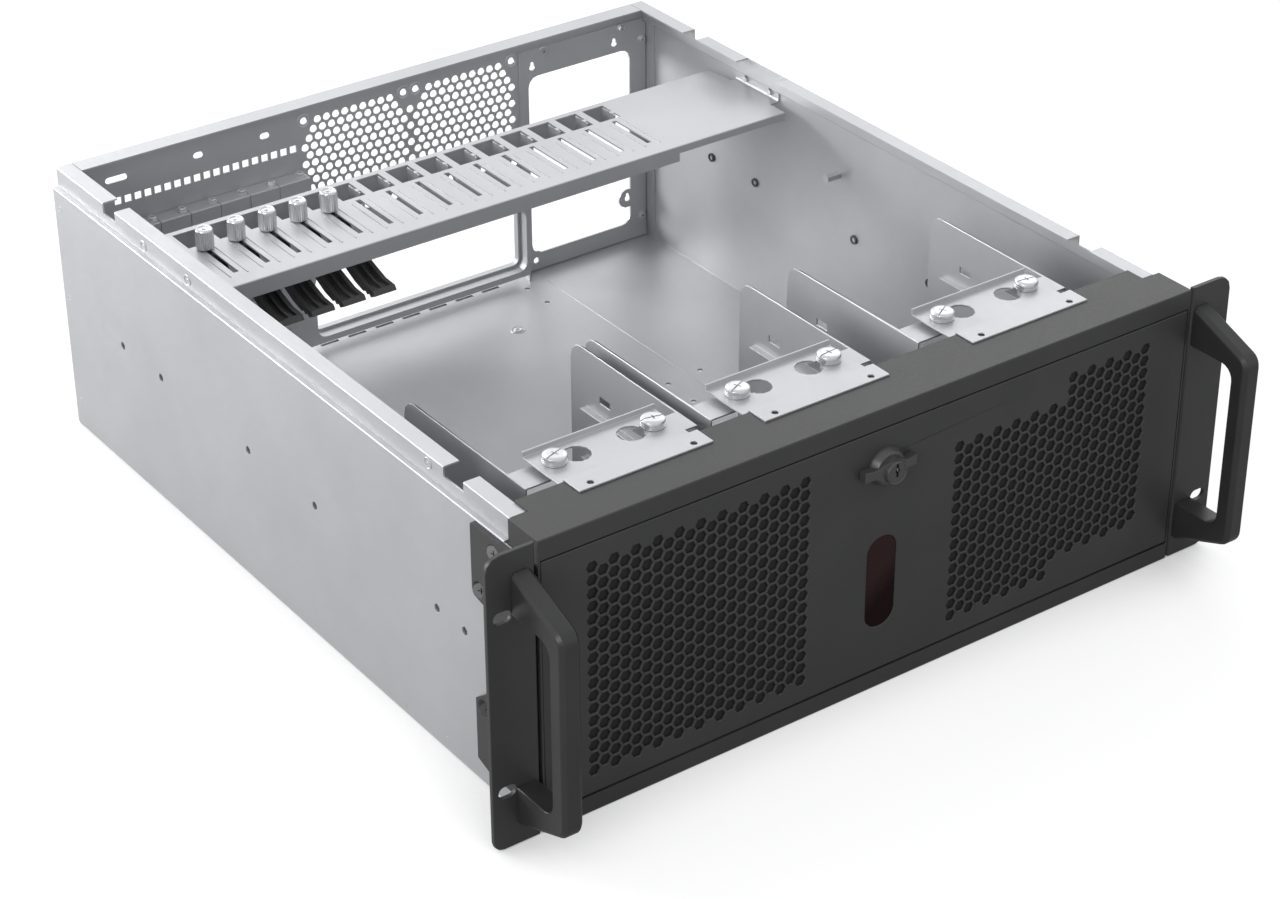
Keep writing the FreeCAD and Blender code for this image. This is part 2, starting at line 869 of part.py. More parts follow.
def psu_plate_screws():
    plane = ("y", rear_inside - psu_plate_thickness - psu_screw_head)
    first_x = psu_bolt_x + psu_screw_shift
    top_z = psu_plate_top - psu_screw_top_margin
    side_x = psu_plate_right - psu_screw_side_margin
    places = (
        (first_x, top_z),
        (first_x + psu_screw_span, top_z),
        (side_x, psu_bolt_z - psu_screw_drop),
        (side_x, psu_screw_low),
    )
    return [stud(plane, x, z, psu_screw_radius, psu_screw_head) for x, z in places]


def slot_cover(x):
    """Blank card bracket: blade, tongue and head in front of the slot, and the tab under its screw."""
    plane = ("y", slot_plane - cover_thickness)
    left = x - blade_width / 2
    right = x + blade_width / 2
    head_left = x + cover_head_shift - cover_head_width / 2
    head_right = head_left + cover_head_width
    head_bottom = slot_ledge_height - cover_head_drop
    tab_top = slot_ledge_height + cover_thickness
    half_tongue = tongue_width / 2
    corners = [
        (x - half_tongue, tongue_bottom),
        (x + half_tongue, tongue_bottom),
        (x + half_tongue, blade_bottom),
        (right, blade_bottom),
        (right, head_bottom),
        (head_right, head_bottom),
        (head_right, tab_top),
        (head_left, tab_top),
        (head_left, head_bottom),
        (left, head_bottom - cover_head_shift),
        (left, blade_bottom),
        (x - half_tongue, blade_bottom),
    ]
    blade = slab(plane, cover_thickness, loop(plane, corners))
    tab_rear = slot_plane + cover_tab_depth
    tab = block(head_left, head_right, plane[1], tab_rear, slot_ledge_height, tab_top)
    return joined([blade, tab])


def slot_cover_screws():
    plane = ("z", slot_ledge_height + cover_thickness)
    y = slot_plane + cover_screw_setback
    places = slot_xs(first_cover_x + cover_screw_shift, cover_count)
    return [stud(plane, x, y, cover_screw_radius, cover_screw_height) for x in places]


def hold_down_bar():
    """Folded bar across the case: slots and windows at the card pitch, ridges, front lip and end feet."""
    plane = ("z", bar_height)
    foot_start = wall_inside - bar_foot_bend - sheet
    half = [
        (bar_half_length, bar_front),
        (bar_half_length, bar_foot_front),
        (foot_start, bar_foot_front),
        (foot_start, bar_foot_rear),
        (wall_inside - bar_corner_gap, bar_foot_rear),
        (wall_inside - bar_corner_gap, bar_rear - bar_corner_margin),
        (bar_half_length, bar_rear),
    ]
    other_half = [(-x, y) for x, y in reversed(half)]
    slot_ends = (bar_front + slot_front_margin, bar_rear - slot_rear_margin)
    window_ends = (bar_rear - window_front_margin, bar_rear - window_rear_margin)
    ridge_ends = (bar_front + ridge_front_margin, bar_rear - ridge_rear_margin)
    holes = []
    ridges = []
    for x in slot_xs(first_bar_slot_x, bar_slot_count):
        holes.append(rectangle(plane, x - slot_width / 2, x + slot_width / 2, *slot_ends))
        holes.append(rectangle(plane, x - window_width / 2, x + window_width / 2, *window_ends))
        for side in (-1, 1):
            middle = x + side * ridge_shift
            edges = (middle - ridge_width / 2, middle + ridge_width / 2)
            ridges.append(block(*edges, *ridge_ends, bar_top, bar_top + ridge_height))
    pieces = [slab(plane, sheet, loop(plane, half + other_half), holes)]
    lip_rear = bar_front + sheet
    lip_end = last_bar_slot_x + bar_short_lip_margin
    lip_low = bar_height - bar_lip_depth
    short_lip_low = bar_height - bar_short_lip_depth
    pieces.append(block(-bar_half_length, lip_end, bar_front, lip_rear, lip_low, bar_height))
    pieces.append(block(lip_end, bar_half_length, bar_front, lip_rear, short_lip_low, bar_height))
    foot_plane = ("y", bar_foot_front)
    foot_top = bar_height + bar_foot_height
    corners = [
        (foot_start, bar_height),
        (wall_inside, bar_height, bar_foot_bend + sheet / 2),
        (wall_inside, foot_top),
        (wall_inside - sheet, foot_top),
        (wall_inside - sheet, bar_top, bar_foot_bend - sheet / 2),
        (foot_start, bar_top),
    ]
    foot = slab(foot_plane, bar_foot_rear - bar_foot_front, loop(foot_plane, corners))
    return joined([*pieces, *both_sides(foot), *ridges])


def bar_screws():
    plane = ("x", wall_inside - sheet - bar_screw_head)
    z = bar_height + bar_screw_rise
    screws = []
    for y in (bar_foot_front + bar_screw_front_margin, bar_foot_rear - bar_screw_rear_margin):
        screws += both_sides(stud(plane, y, z, bar_screw_radius, bar_screw_head, head_flat_count))
    return screws


def clamp_side(x, shares):
    """Outline in the clamp's side view, from shares of its length and its drop."""
    top = bar_height - clamp_gap
    places = [(clamp_screw_y - along * clamp_length, top - down * clamp_drop) for along, down in shares]
    return outline(("x", x), places)


def clamp(x):
    """Moulded arm under the bar: pad round the screw, channel with a middle rib, toothed front end."""
    left = x - clamp_width / 2
    arm = slab(("x", left), clamp_width, clamp_side(left, clamp_outline))
    groove = (clamp_width - 2 * clamp_wall - clamp_rib) / 2
    bottom = bar_height - clamp_gap - thumb_shaft_length
    hole_radius = thumb_shaft_radius + thumb_hole_clearance
    hole_depth = thumb_shaft_length + sheet
    cuts = [stud(("z", bottom), x, clamp_screw_y, hole_radius, hole_depth, head_flat_count)]
    for start in (left + clamp_wall, x + clamp_rib / 2):
        cuts.append(slab(("x", start), groove, clamp_side(start, clamp_pocket)))
    return less(arm, cuts)


def thumbscrew(x):
    """Fluted thumbscrew whose shaft runs down through a slot of the bar into the clamp."""
    plane = ("z", bar_top + ridge_height + thumb_gap)
    steps = 2 * thumb_flutes
    places = []
    for i in range(steps):
        radius = thumb_radius - (thumb_flute_depth if i % 2 else 0.0)
        angle = 2 * math.pi * i / steps
        places.append((x + radius * math.cos(angle), clamp_screw_y + radius * math.sin(angle)))
    knob = slab(plane, thumb_height, outline(plane, places))
    shaft_plane = ("z", plane[1] - thumb_shaft_length)
    shaft = stud(shaft_plane, x, clamp_screw_y, thumb_shaft_radius, thumb_shaft_length, head_flat_count)
    return joined([knob, shaft])


def front_frame():
    """Folded bezel: top and bottom strips, sheet round the case's front, bulkhead behind the door."""
    half = frame_half_width
    tongue = frame_half_width - frame_tongue_margin
    top = ("z", case_height - frame_sheet)
    corners = [
        (-half, 0.0),
        (half, 0.0),
        (half, frame_depth),
        (tongue, frame_depth),
        (tongue, frame_tongue_depth),
        (-tongue, frame_tongue_depth),
        (-tongue, frame_depth),
        (-half, frame_depth),
    ]
    pieces = [slab(top, frame_sheet, loop(top, corners))]
    pieces.append(block(-half, half, 0, frame_depth, 0, frame_sheet))
    side = ("x", half - frame_sheet)
    side_outline = rectangle(side, 0, frame_depth, 0, case_height)
    pieces += both_sides(slab(side, frame_sheet, side_outline, [hinge_hole(side)]))
    pieces.append(block(-half, half, 0, strip_thickness, top_strip_bottom, case_height))
    lip_top = top_strip_bottom + frame_sheet
    pieces.append(block(-half, half, 0, top_strip_lip, top_strip_bottom, lip_top))
    pieces.append(block(-half, half, 0, strip_thickness, 0, bottom_strip_top))
    back = ("y", frame_depth - frame_sheet)
    outer = half - bulkhead_side_margin
    upper = top_strip_bottom - bulkhead_top_margin
    openings = [
        rectangle(back, bulkhead_inner, outer, bulkhead_bottom, upper),
        rectangle(back, -outer, -bulkhead_inner, bulkhead_bottom, upper),
    ]
    pieces.append(slab(back, frame_sheet, rectangle(back, -half, half, 0, case_height), openings))
    return joined(pieces)


def hinge_hole(plane):
    """Outline of the hole that a hinge pin goes through."""
    return small_round(plane, hinge_y, hinge_z, pin_radius + pin_clearance, turning_flat_count)


def grille_holes(plane, side):
    """Hexagon lattice over one grille field; the right field steps down and up at its corners."""
    column_step = grille_pitch * math.cos(math.radians(30))
    half_wide = grille_hole / math.sqrt(3)
    half_tall = grille_hole / 2
    columns = int((grille_outer_x - grille_inner_x - 2 * half_wide) / column_step) + 1
    rows = int((grille_top - grille_bottom) / grille_pitch) + 1
    holes = []
    for column in range(columns):
        x = grille_inner_x + half_wide + column * column_step
        low = grille_bottom
        high = grille_top
        if side > 0 and x < grille_outer_x - grille_step_up_margin:
            high -= grille_step
        if side > 0 and x > grille_outer_x - grille_step_down_margin:
            low += grille_step
        first = grille_bottom + half_tall + (grille_pitch / 2 if column % 2 else 0.0)
        for row in range(rows):
            z = first + row * grille_pitch
            if low <= z - half_tall + same_place and z + half_tall - same_place <= high:
                holes.append(hexagon(plane, side * x, z, grille_hole))
    return holes


def window_outline(plane, extra):
    """Outline of the indicator window, made larger or smaller on every side."""
    across = window_across / 2 + extra
    tall = window_tall / 2 + extra
    edges = (window_x - across, window_x + across, window_z - tall, window_z + tall)
    return rectangle(plane, *edges, across - window_corner_trim, smooth_flat_count)


def door():
    """Drop-down door: a shallow pan with two punched grilles, a window and a lock hole."""
    plane = ("y", 0.0)
    outer = rectangle(plane, -door_half_width, door_half_width, door_bottom, door_top)
    holes = grille_holes(plane, 1) + grille_holes(plane, -1)
    holes.append(window_outline(plane, 0.0))
    shaft_hole = lock_shaft_radius + lock_shaft_clearance
    holes.append(small_round(plane, lock_x, lock_z, shaft_hole, turning_flat_count))
    face = slab(plane, door_sheet, outer, holes)
    back = door_sheet + door_return
    low = door_bottom + door_sheet
    high = door_top - door_sheet
    level = block(-door_half_width, door_half_width, door_sheet, back, door_bottom, low)
    upper = block(-door_half_width, door_half_width, door_sheet, back, high, door_top)
    side = ("x", door_half_width - door_sheet)
    side_outline = rectangle(side, door_sheet, back, door_bottom, door_top)
    returns = both_sides(slab(side, door_sheet, side_outline, [hinge_hole(side)]))
    return joined([face, level, upper, *returns])


def door_window():
    """Tinted lens set in the door from behind, its face just below the sheet's."""
    front = ("y", window_recess)
    lens = slab(front, door_sheet - window_recess, window_outline(front, -window_clearance))
    back = ("y", door_sheet)
    flange = slab(back, window_flange_thickness, window_outline(back, window_flange - window_clearance))
    return joined([lens, flange])


def lock_knob():
    """Turning lock: tapered disc, wings and key barrel outside, shaft through the door."""
    face = ("y", 0.0)
    disc = frustum(face, lock_x, lock_z, lock_disc_radius, lock_disc_front_radius, -lock_disc_depth)
    wing_plane = ("y", -lock_disc_depth)
    wing_outline = obround(wing_plane, lock_x, lock_z, 2 * lock_bar_half, lock_bar_width)
    wings = slab(wing_plane, lock_disc_depth, wing_outline)
    barrel_plane = ("y", -lock_barrel_front)
    barrel = stud(barrel_plane, lock_x, lock_z, lock_barrel_radius, lock_barrel_front, turning_flat_count)
    shaft_length = door_sheet + door_return + cam_gap
    shaft = stud(face, lock_x, lock_z, lock_shaft_radius, shaft_length, turning_flat_count)
    half_slot = key_slot_width / 2
    slot_low = lock_z + key_slot_rise - key_slot_height / 2
    slot = block(
        lock_x - half_slot,
        lock_x + half_slot,
        -lock_barrel_front - sheet,
        key_slot_depth - lock_barrel_front,
        slot_low,
        slot_low + key_slot_height,
    )
    return less(joined([disc, wings, barrel, shaft]), [slot])


def lock_cam():
    """Tongue at the lock's inner end; a quarter turn swings it up behind the bezel's top strip."""
    plane = ("y", door_sheet + door_return + cam_gap)
    half = cam_width / 2
    edges = (lock_x - half, lock_x + cam_reach, lock_z - half, lock_z + half)
    return slab(plane, cam_thickness, rectangle(plane, *edges, cam_corner))


def filter_pad(side):
    """Foam dust filter behind one grille."""
    plane = ("y", door_sheet)
    ends = sorted((side * (grille_inner_x - filter_margin), side * (grille_outer_x + filter_margin)))
    low = grille_bottom - filter_margin
    return slab(plane, filter_thickness, rectangle(plane, *ends, low, grille_top + filter_margin))


def hinge_pins():
    plane = ("x", frame_half_width - pin_length)
    return both_sides(stud(plane, hinge_y, hinge_z, pin_radius, pin_length, turning_flat_count))


def ear():
    """Right rack ear: front plate with two slots, and a side flange with two lobes."""
    front = ("y", 0.0)
    plate_corners = [
        (case_half_width, ear_bottom),
        (ear_outer, ear_bottom, ear_bottom_corner),
        (ear_outer, ear_top, ear_top_corner),
        (case_half_width, ear_top),
    ]
    slots = [
        round_slot(front, rack_hole_x, z, rack_slot_length, rack_slot_width)
        for z in (rack_hole_low, rack_hole_low + rack_hole_spacing)
    ]
    plate = slab(front, ear_thickness, loop(front, plate_corners), slots)
    side = ("x", case_half_width)
    lobe = flange_lobe_depth
    waist = flange_waist_depth
    high_bottom = ear_top - high_lobe_bottom_drop
    high_top = ear_top - high_lobe_top_drop
    flange_corners = [
        (0.0, low_lobe_bottom),
        (waist, low_lobe_bottom),
        (lobe, low_lobe_bottom + low_lobe_slope),
        (lobe, low_lobe_top - lobe_slant),
        (waist, low_lobe_top),
        (waist, high_bottom),
        (lobe - lobe_small_corner, high_bottom + lobe_small_corner),
        (lobe, high_bottom + lobe_corner),
        (lobe, high_top, lobe_small_corner),
        (0.0, high_top),
    ]
    flange = slab(side, ear_thickness, loop(side, flange_corners))
    body = joined([plate, flange])
    corner = []
    for edge in body.Edges:
        if all(abs(v.X - case_half_width) < same_place and abs(v.Y) < same_place for v in edge.Vertexes):
            corner.append(edge)
    body = body.makeChamfer(ear_bend, corner)
    return less(body, [countersunk_head(y, z, ear_screw_clearance) for y, z in ear_screw_places])


def countersunk_head(y, z, extra=0.0):
    """Cone of a flush screw head in the ear's side flange, or of its seat with extra room."""
    plane = ("x", case_half_width)
    tip = ear_screw_tip_radius + extra
    return frustum(plane, y, z, tip, ear_screw_radius + extra, ear_thickness, head_flat_count)


def ear_screws():
    screws = []
    for y, z in ear_screw_places:
        screws += both_sides(countersunk_head(y, z))
    return screws


def handle():
    """Right carrying handle: a flat bow with chamfered outer edges."""
    plane = ("x", handle_inner_x)
    z = handle_centre_z
    front = -handle_reach
    grip = front + handle_grip
    corners = [
        (0.0, z + handle_root_half),
        (front, z + handle_front_half, handle_outer_corner),
        (front, z - handle_front_half, handle_outer_corner),
        (0.0, z - handle_root_half),
        (0.0, z - handle_opening_half),
        (grip, z - handle_opening_half, handle_inner_corner),
        (grip, z + handle_opening_half, handle_inner_corner),
        (0.0, z + handle_opening_half),
    ]
    bow = slab(plane, handle_width, loop(plane, corners, smooth_flat_count))
    faces = (handle_inner_x, handle_inner_x + handle_width)
    long_edges = []
    for edge in bow.Edges:
        middle = edge.BoundBox.Center
        flat = edge.BoundBox.XLength < same_place and min(abs(middle.x - x) for x in faces) < same_place
        in_front = middle.y < grip - handle_chamfer
        beyond = abs(middle.z - z) > handle_opening_half + handle_chamfer
        if flat and (in_front or beyond) and edge.BoundBox.YMin < -same_place:
            long_edges.append(edge)
    return bow.makeChamfer(handle_chamfer, long_edges).Solids[0]


def handle_screws():
    plane = ("y", ear_thickness)
    x = handle_inner_x + handle_width / 2
    screws = []
    for level in (-1, 1):
        z = handle_centre_z + level * (handle_root_half - handle_screw_margin)
        screws += both_sides(stud(plane, x, z, handle_screw_radius, handle_screw_head))
    return screws


def drive_cage(centre):
    """Open drive cage: base on the floor, two side plates with guide ledges, top flanges at the front."""
    left = centre - cage_half_width
    right = centre + cage_half_width
    pieces = [block(left, right, cage_front, cage_rear, sheet, 2 * sheet)]
    inner = cage_half_width - sheet
    corners = [
        (cage_front, sheet),
        (cage_rear, sheet),
        (cage_rear, cage_top, cage_corner),
        (cage_front, cage_top),
    ]
    hole_z = cage_top - drive_hole_drop
    half_long = drive_hole_length / 2
    half_wide = drive_hole_width / 2
    hole_ys = (drive_hole_y - half_long, drive_hole_y + half_long)
    for side in (-1, 1):
        plane = ("x", centre + (inner if side > 0 else -cage_half_width))
        hole = rectangle(plane, *hole_ys, hole_z - half_wide, hole_z + half_wide)
        pieces.append(slab(plane, sheet, loop(plane, corners), [hole]))
        edges = sorted((centre + side * cage_flange_inner, centre + side * cage_half_width))
        pieces.append(block(*edges, cage_front, cage_flange_rear, cage_top - sheet, cage_top))
        ledge = sorted((centre + side * inner, centre + side * (inner - guide_reach)))
        for i in range(guide_count):
            level = guide_first + i * guide_step
            pieces.append(block(*ledge, guide_front, guide_rear, level, level + sheet))
    return joined(pieces)


def cage_plate(centre):
    """Joggled top plate: its tab lies on the front frame and its keyholes hold the cage's screws."""
    plane = ("x", centre - plate_half_width)
    low = cage_top + plate_lift
    tab = case_height
    joggle_front = frame_tongue_depth
    joggle_rear = joggle_front + plate_joggle_run
    profile = [
        (plate_tab_front, tab),
        (joggle_front, tab),
        (joggle_rear, low),
        (plate_rear, low),
        (plate_rear, low + plate_lip),
        (plate_rear - sheet, low + plate_lip),
        (plate_rear - sheet, low + sheet),
        (joggle_rear + plate_joggle_ease, low + sheet),
        (joggle_front + plate_joggle_ease, tab + sheet),
        (plate_tab_front, tab + sheet),
    ]
    plate = slab(plane, 2 * plate_half_width, loop(plane, profile))
    cuts = []
    hole_plane = ("z", low - sheet)
    depth = 3 * sheet
    half_slot = keyhole_slot_width / 2
    for side in (-1, 1):
        round_x = centre + side * keyhole_x
        end_x = centre + side * keyhole_slot_x
        cuts.append(stud(hole_plane, round_x, keyhole_y, keyhole_radius, depth, head_flat_count))
        cuts.append(stud(hole_plane, end_x, keyhole_y, half_slot, depth, head_flat_count))
        ends = sorted((round_x, end_x))
        slot_sides = (keyhole_y - half_slot, keyhole_y + half_slot)
        cuts.append(block(*ends, *slot_sides, low - sheet, low + 2 * sheet))
        tab_x = centre + side * tab_hole_x
        cuts.append(stud(("z", tab - sheet), tab_x, tab_hole_y, tab_hole_radius, depth))
    return less(plate, cuts)


def cage_screws():
    """Shoulder screws: collar between cage and plate, neck in the keyhole's slot, wide head on top."""
    screws = []
    low = cage_top + plate_lift
    for centre in cage_centres:
        for side in (-1, 1):
            x = centre + side * keyhole_slot_x
            collar = stud(("z", cage_top), x, keyhole_y, collar_radius, plate_lift)
            neck = stud(("z", low), x, keyhole_y, neck_radius, sheet)
            head = stud(("z", low + sheet), x, keyhole_y, knob_radius, knob_height, head_flat_count)
            screws.append(joined([collar, neck, head]))
    return screws


def wall_standoff():
    plane = ("x", wall_inside - standoff_length)
    return stud(plane, standoff_y, rim_height - standoff_drop, standoff_radius, standoff_length)


def all_parts():
    """Every sub-part's name and its solid, or its group of like solids."""
    parts = {
        "base_tray": base_tray(),
        "rear_panel": rear_panel(),
        "psu_plate": psu_plate(),
        "psu_plate_screws": psu_plate_screws(),
        "slot_cover_screws": slot_cover_screws(),
        "hold_down_bar": hold_down_bar(),
        "bar_screws": bar_screws(),
        "front_frame": front_frame(),
        "door": door(),
        "door_window": door_window(),
        "lock_knob": lock_knob(),
        "lock_cam": lock_cam(),
        "filter_left": filter_pad(-1),
        "filter_right": filter_pad(1),
        "hinge_pins": hinge_pins(),
        "ear_screws": ear_screws(),
        "handle_screws": handle_screws(),
        "cage_screws": cage_screws(),
        "wall_standoff": wall_standoff(),
    }
    right_ear = ear()
    right_handle = handle()
    parts["ear_right"] = right_ear
    parts["ear_left"] = mirrored(right_ear)
    parts["handle_right"] = right_handle
    parts["handle_left"] = mirrored(right_handle)
    for k, x in enumerate(slot_xs(first_cover_x, cover_count)):
        parts[f"slot_cover_{k + 1}"] = slot_cover(x)
    for k, x in enumerate(slot_xs(first_bar_slot_x, clamp_count)):
        parts[f"clamp_{k + 1}"] = clamp(x)
        parts[f"thumbscrew_{k + 1}"] = thumbscrew(x)
    for k, centre in enumerate(cage_centres):
        parts[f"drive_cage_{k + 1}"] = drive_cage(centre)
        parts[f"cage_plate_{k + 1}"] = cage_plate(centre)
    return parts


os.makedirs("parts", exist_ok=True)
for name, shape in all_parts().items():
    solids = shape if isinstance(shape, list) else [shape]
    whole = Part.makeCompound(solids) if len(solids) > 1 else solids[0]
    whole.exportStep(os.path.join("parts", name + ".step"))
    print(name, len(whole.Solids), round(whole.Volume), whole.isValid())
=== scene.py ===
import json
import math
import bmesh
import bpy
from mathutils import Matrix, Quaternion, Vector


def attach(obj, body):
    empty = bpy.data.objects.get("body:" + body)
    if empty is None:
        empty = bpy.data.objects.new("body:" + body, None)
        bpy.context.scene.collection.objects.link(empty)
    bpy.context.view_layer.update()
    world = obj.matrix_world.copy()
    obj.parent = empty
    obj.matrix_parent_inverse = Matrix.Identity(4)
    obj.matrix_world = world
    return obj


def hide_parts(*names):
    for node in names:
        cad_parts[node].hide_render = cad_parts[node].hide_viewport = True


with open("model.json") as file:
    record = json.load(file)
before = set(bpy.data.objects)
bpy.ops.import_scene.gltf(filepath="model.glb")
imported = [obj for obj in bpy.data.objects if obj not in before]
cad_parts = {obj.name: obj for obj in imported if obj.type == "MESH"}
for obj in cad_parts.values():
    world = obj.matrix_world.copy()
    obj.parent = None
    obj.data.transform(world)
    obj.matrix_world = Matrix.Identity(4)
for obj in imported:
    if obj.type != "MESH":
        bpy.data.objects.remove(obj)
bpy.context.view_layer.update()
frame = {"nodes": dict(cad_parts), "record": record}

# Empty rackmount server case, top cover off. Metres here, millimetres in the settings.


def mm(value):
    return value / 1000


tiny = mm(0.01)


# Helpers for editing

def pick(*pieces):
    bpy.ops.object.select_all(action="DESELECT")
    for piece in pieces:
        piece.select_set(True)
    bpy.context.view_layer.objects.active = pieces[0]


def openMesh(piece, part="FACE"):
    pick(piece)
    bpy.ops.object.mode_set(mode="EDIT")
    bpy.ops.mesh.select_mode(type=part)
    bpy.ops.mesh.select_all(action="DESELECT")


def closeMesh():
    bpy.ops.object.mode_set(mode="OBJECT")


def chooseAll():
    bpy.ops.mesh.select_all(action="SELECT")


def choose(piece, kind, test):
    # selects faces, edges or vertices of the open mesh by their place or normal
    mesh = bmesh.from_edit_mesh(piece.data)
    for element in getattr(mesh, kind):
        if test(element):
            element.select_set(True)
    mesh.select_flush_mode()
    bmesh.update_edit_mesh(piece.data)


def faceOutward():
    chooseAll()
    bpy.ops.mesh.normals_make_consistent(inside=False)


def extrudeBy(x, y, z):
    bpy.ops.mesh.extrude_region_move(TRANSFORM_OT_translate={"value": (mm(x), mm(y), mm(z))})


def middleOf(element):
    points = [v.co for v in element.verts]
    return sum(points, Vector()) / len(points)


def named(name):
    piece = bpy.context.object
    piece.name = name
    piece.data.name = name
    return piece


def modified(piece, kind, **settings):
    # adds one modifier and applies it
    pick(piece)
    modifier = piece.modifiers.new(kind.title(), kind)
    for key, value in settings.items():
        setattr(modifier, key, value)
    bpy.ops.object.modifier_apply(modifier=modifier.name)


def eased(piece, width, segments=1, angle=40):
    # breaks the edges that are sharper than the angle
    modified(piece, "BEVEL", width=mm(width), segments=segments, limit_method="ANGLE",
             angle_limit=math.radians(angle))


def placeApplied(piece):
    pick(piece)
    bpy.ops.object.transform_apply(location=True, rotation=True, scale=True)


def joinedPieces(pieces, name):
    pick(*pieces)
    if len(pieces) > 1:
        bpy.ops.object.join()
    return named(name)


def nodeCopy(node, name):
    # a loose CAD mesh, merged into clean faces
    source = frame["nodes"][node]
    piece = bpy.data.objects.new(name, source.data.copy())
    bpy.context.collection.objects.link(piece)
    openMesh(piece)
    bpy.ops.mesh.customdata_custom_splitnormals_clear()
    chooseAll()
    bpy.ops.mesh.remove_doubles(threshold=mm(0.004))
    bpy.ops.mesh.dissolve_limited(angle_limit=math.radians(0.6))
    closeMesh()
    return piece


def finished(piece, body, slot, nodes=(), smooth=35):
    # every piece ends here: it takes its slot's finish and smooth shading up to an angle, joins its body, and
    # hides the solids it replaces
    placeApplied(piece)
    piece.data.materials.clear()
    piece.data.materials.append(slotFinishes[slot])
    bpy.ops.object.shade_smooth_by_angle(angle=math.radians(smooth))
    modified(piece, "WEIGHTED_NORMAL", keep_sharp=True)
    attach(piece, body)
    if nodes:
        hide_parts(*nodes)
    return piece


# Finishes

def newFinish(name):
    material = bpy.data.materials.new(name)
    material.use_nodes = True
    nodes = material.node_tree.nodes
    place = nodes.new("ShaderNodeTexCoord")
    return material, nodes, material.node_tree.links, nodes["Principled BSDF"], place.outputs["Object"]


def noise(nodes, links, where, scale, detail, rough, stretch=None):
    if stretch:
        mapping = nodes.new("ShaderNodeMapping")
        mapping.inputs["Scale"].default_value = stretch
        links.new(where, mapping.inputs["Vector"])
        where = mapping.outputs["Vector"]
    texture = nodes.new("ShaderNodeTexNoise")
    texture.inputs["Scale"].default_value = scale
    texture.inputs["Detail"].default_value = detail
    texture.inputs["Roughness"].default_value = rough
    links.new(where, texture.inputs["Vector"])
    return texture.outputs["Fac"]


def spread(nodes, links, value, low, high, fromLow=0.3, fromHigh=0.7):
    # takes a pattern's middle range to a range of values
    scale = nodes.new("ShaderNodeMapRange")
    scale.inputs["From Min"].default_value = fromLow
    scale.inputs["From Max"].default_value = fromHigh
    scale.inputs["To Min"].default_value = low
    scale.inputs["To Max"].default_value = high
    links.new(value, scale.inputs["Value"])
    return scale.outputs["Result"]


def toned(nodes, links, value, dark, light, fromLow=0.3, fromHigh=0.7):
    ramp = nodes.new("ShaderNodeValToRGB")
    ramp.color_ramp.elements[0].position = fromLow
    ramp.color_ramp.elements[0].color = (*dark, 1)
    ramp.color_ramp.elements[1].position = fromHigh
    ramp.color_ramp.elements[1].color = (*light, 1)
    links.new(value, ramp.inputs["Fac"])
    return ramp.outputs["Color"]


def bumped(nodes, links, shader, height, depth, strength):
    bump = nodes.new("ShaderNodeBump")
    bump.inputs["Strength"].default_value = strength
    bump.inputs["Distance"].default_value = mm(depth)
    links.new(height, bump.inputs["Height"])
    links.new(bump.outputs["Normal"], shader.inputs["Normal"])


def galvanisedSheet(name, settings):
    # zinc-coated steel: even satin grey, faint cloudy tone and a fine rolled grain
    material, nodes, links, shader, where = newFinish(name)
    cloud = noise(nodes, links, where, settings["cloudScale"], detail=4, rough=0.55)
    stretch = settings["grainStretch"]
    grain = noise(nodes, links, where, settings["grainScale"], detail=2, rough=0.6, stretch=stretch)
    tone = toned(nodes, links, cloud, settings["dark"], settings["light"])
    links.new(tone, shader.inputs["Base Color"])
    links.new(spread(nodes, links, grain, *settings["roughness"]), shader.inputs["Roughness"])
    shader.inputs["Metallic"].default_value = settings["metal"]
    bumped(nodes, links, shader, grain, settings["grainDepth"], 0.5)
    return material


def powderCoat(name, settings):
    # baked powder paint or moulded plastic: fine orange peel and a slight unevenness of gloss
    material, nodes, links, shader, where = newFinish(name)
    cloud = noise(nodes, links, where, settings["cloudScale"], detail=3, rough=0.5)
    peel = noise(nodes, links, where, settings["peelScale"], detail=2, rough=0.5)
    tone = toned(nodes, links, cloud, settings["dark"], settings["light"])
    links.new(tone, shader.inputs["Base Color"])
    links.new(spread(nodes, links, peel, *settings["roughness"]), shader.inputs["Roughness"])
    bumped(nodes, links, shader, peel, settings["peelDepth"], 0.6)
    return material


def platedMetal(name, settings):
    # small turned or pressed parts, with fine machining marks
    material, nodes, links, shader, where = newFinish(name)
    marks = noise(nodes, links, where, settings["markScale"], detail=3, rough=0.6)
    tone = toned(nodes, links, marks, settings["dark"], settings["light"])
    links.new(tone, shader.inputs["Base Color"])
    links.new(spread(nodes, links, marks, *settings["roughness"]), shader.inputs["Roughness"])
    shader.inputs["Metallic"].default_value = settings["metal"]
    bumped(nodes, links, shader, marks, settings["markDepth"], 0.4)
    return material


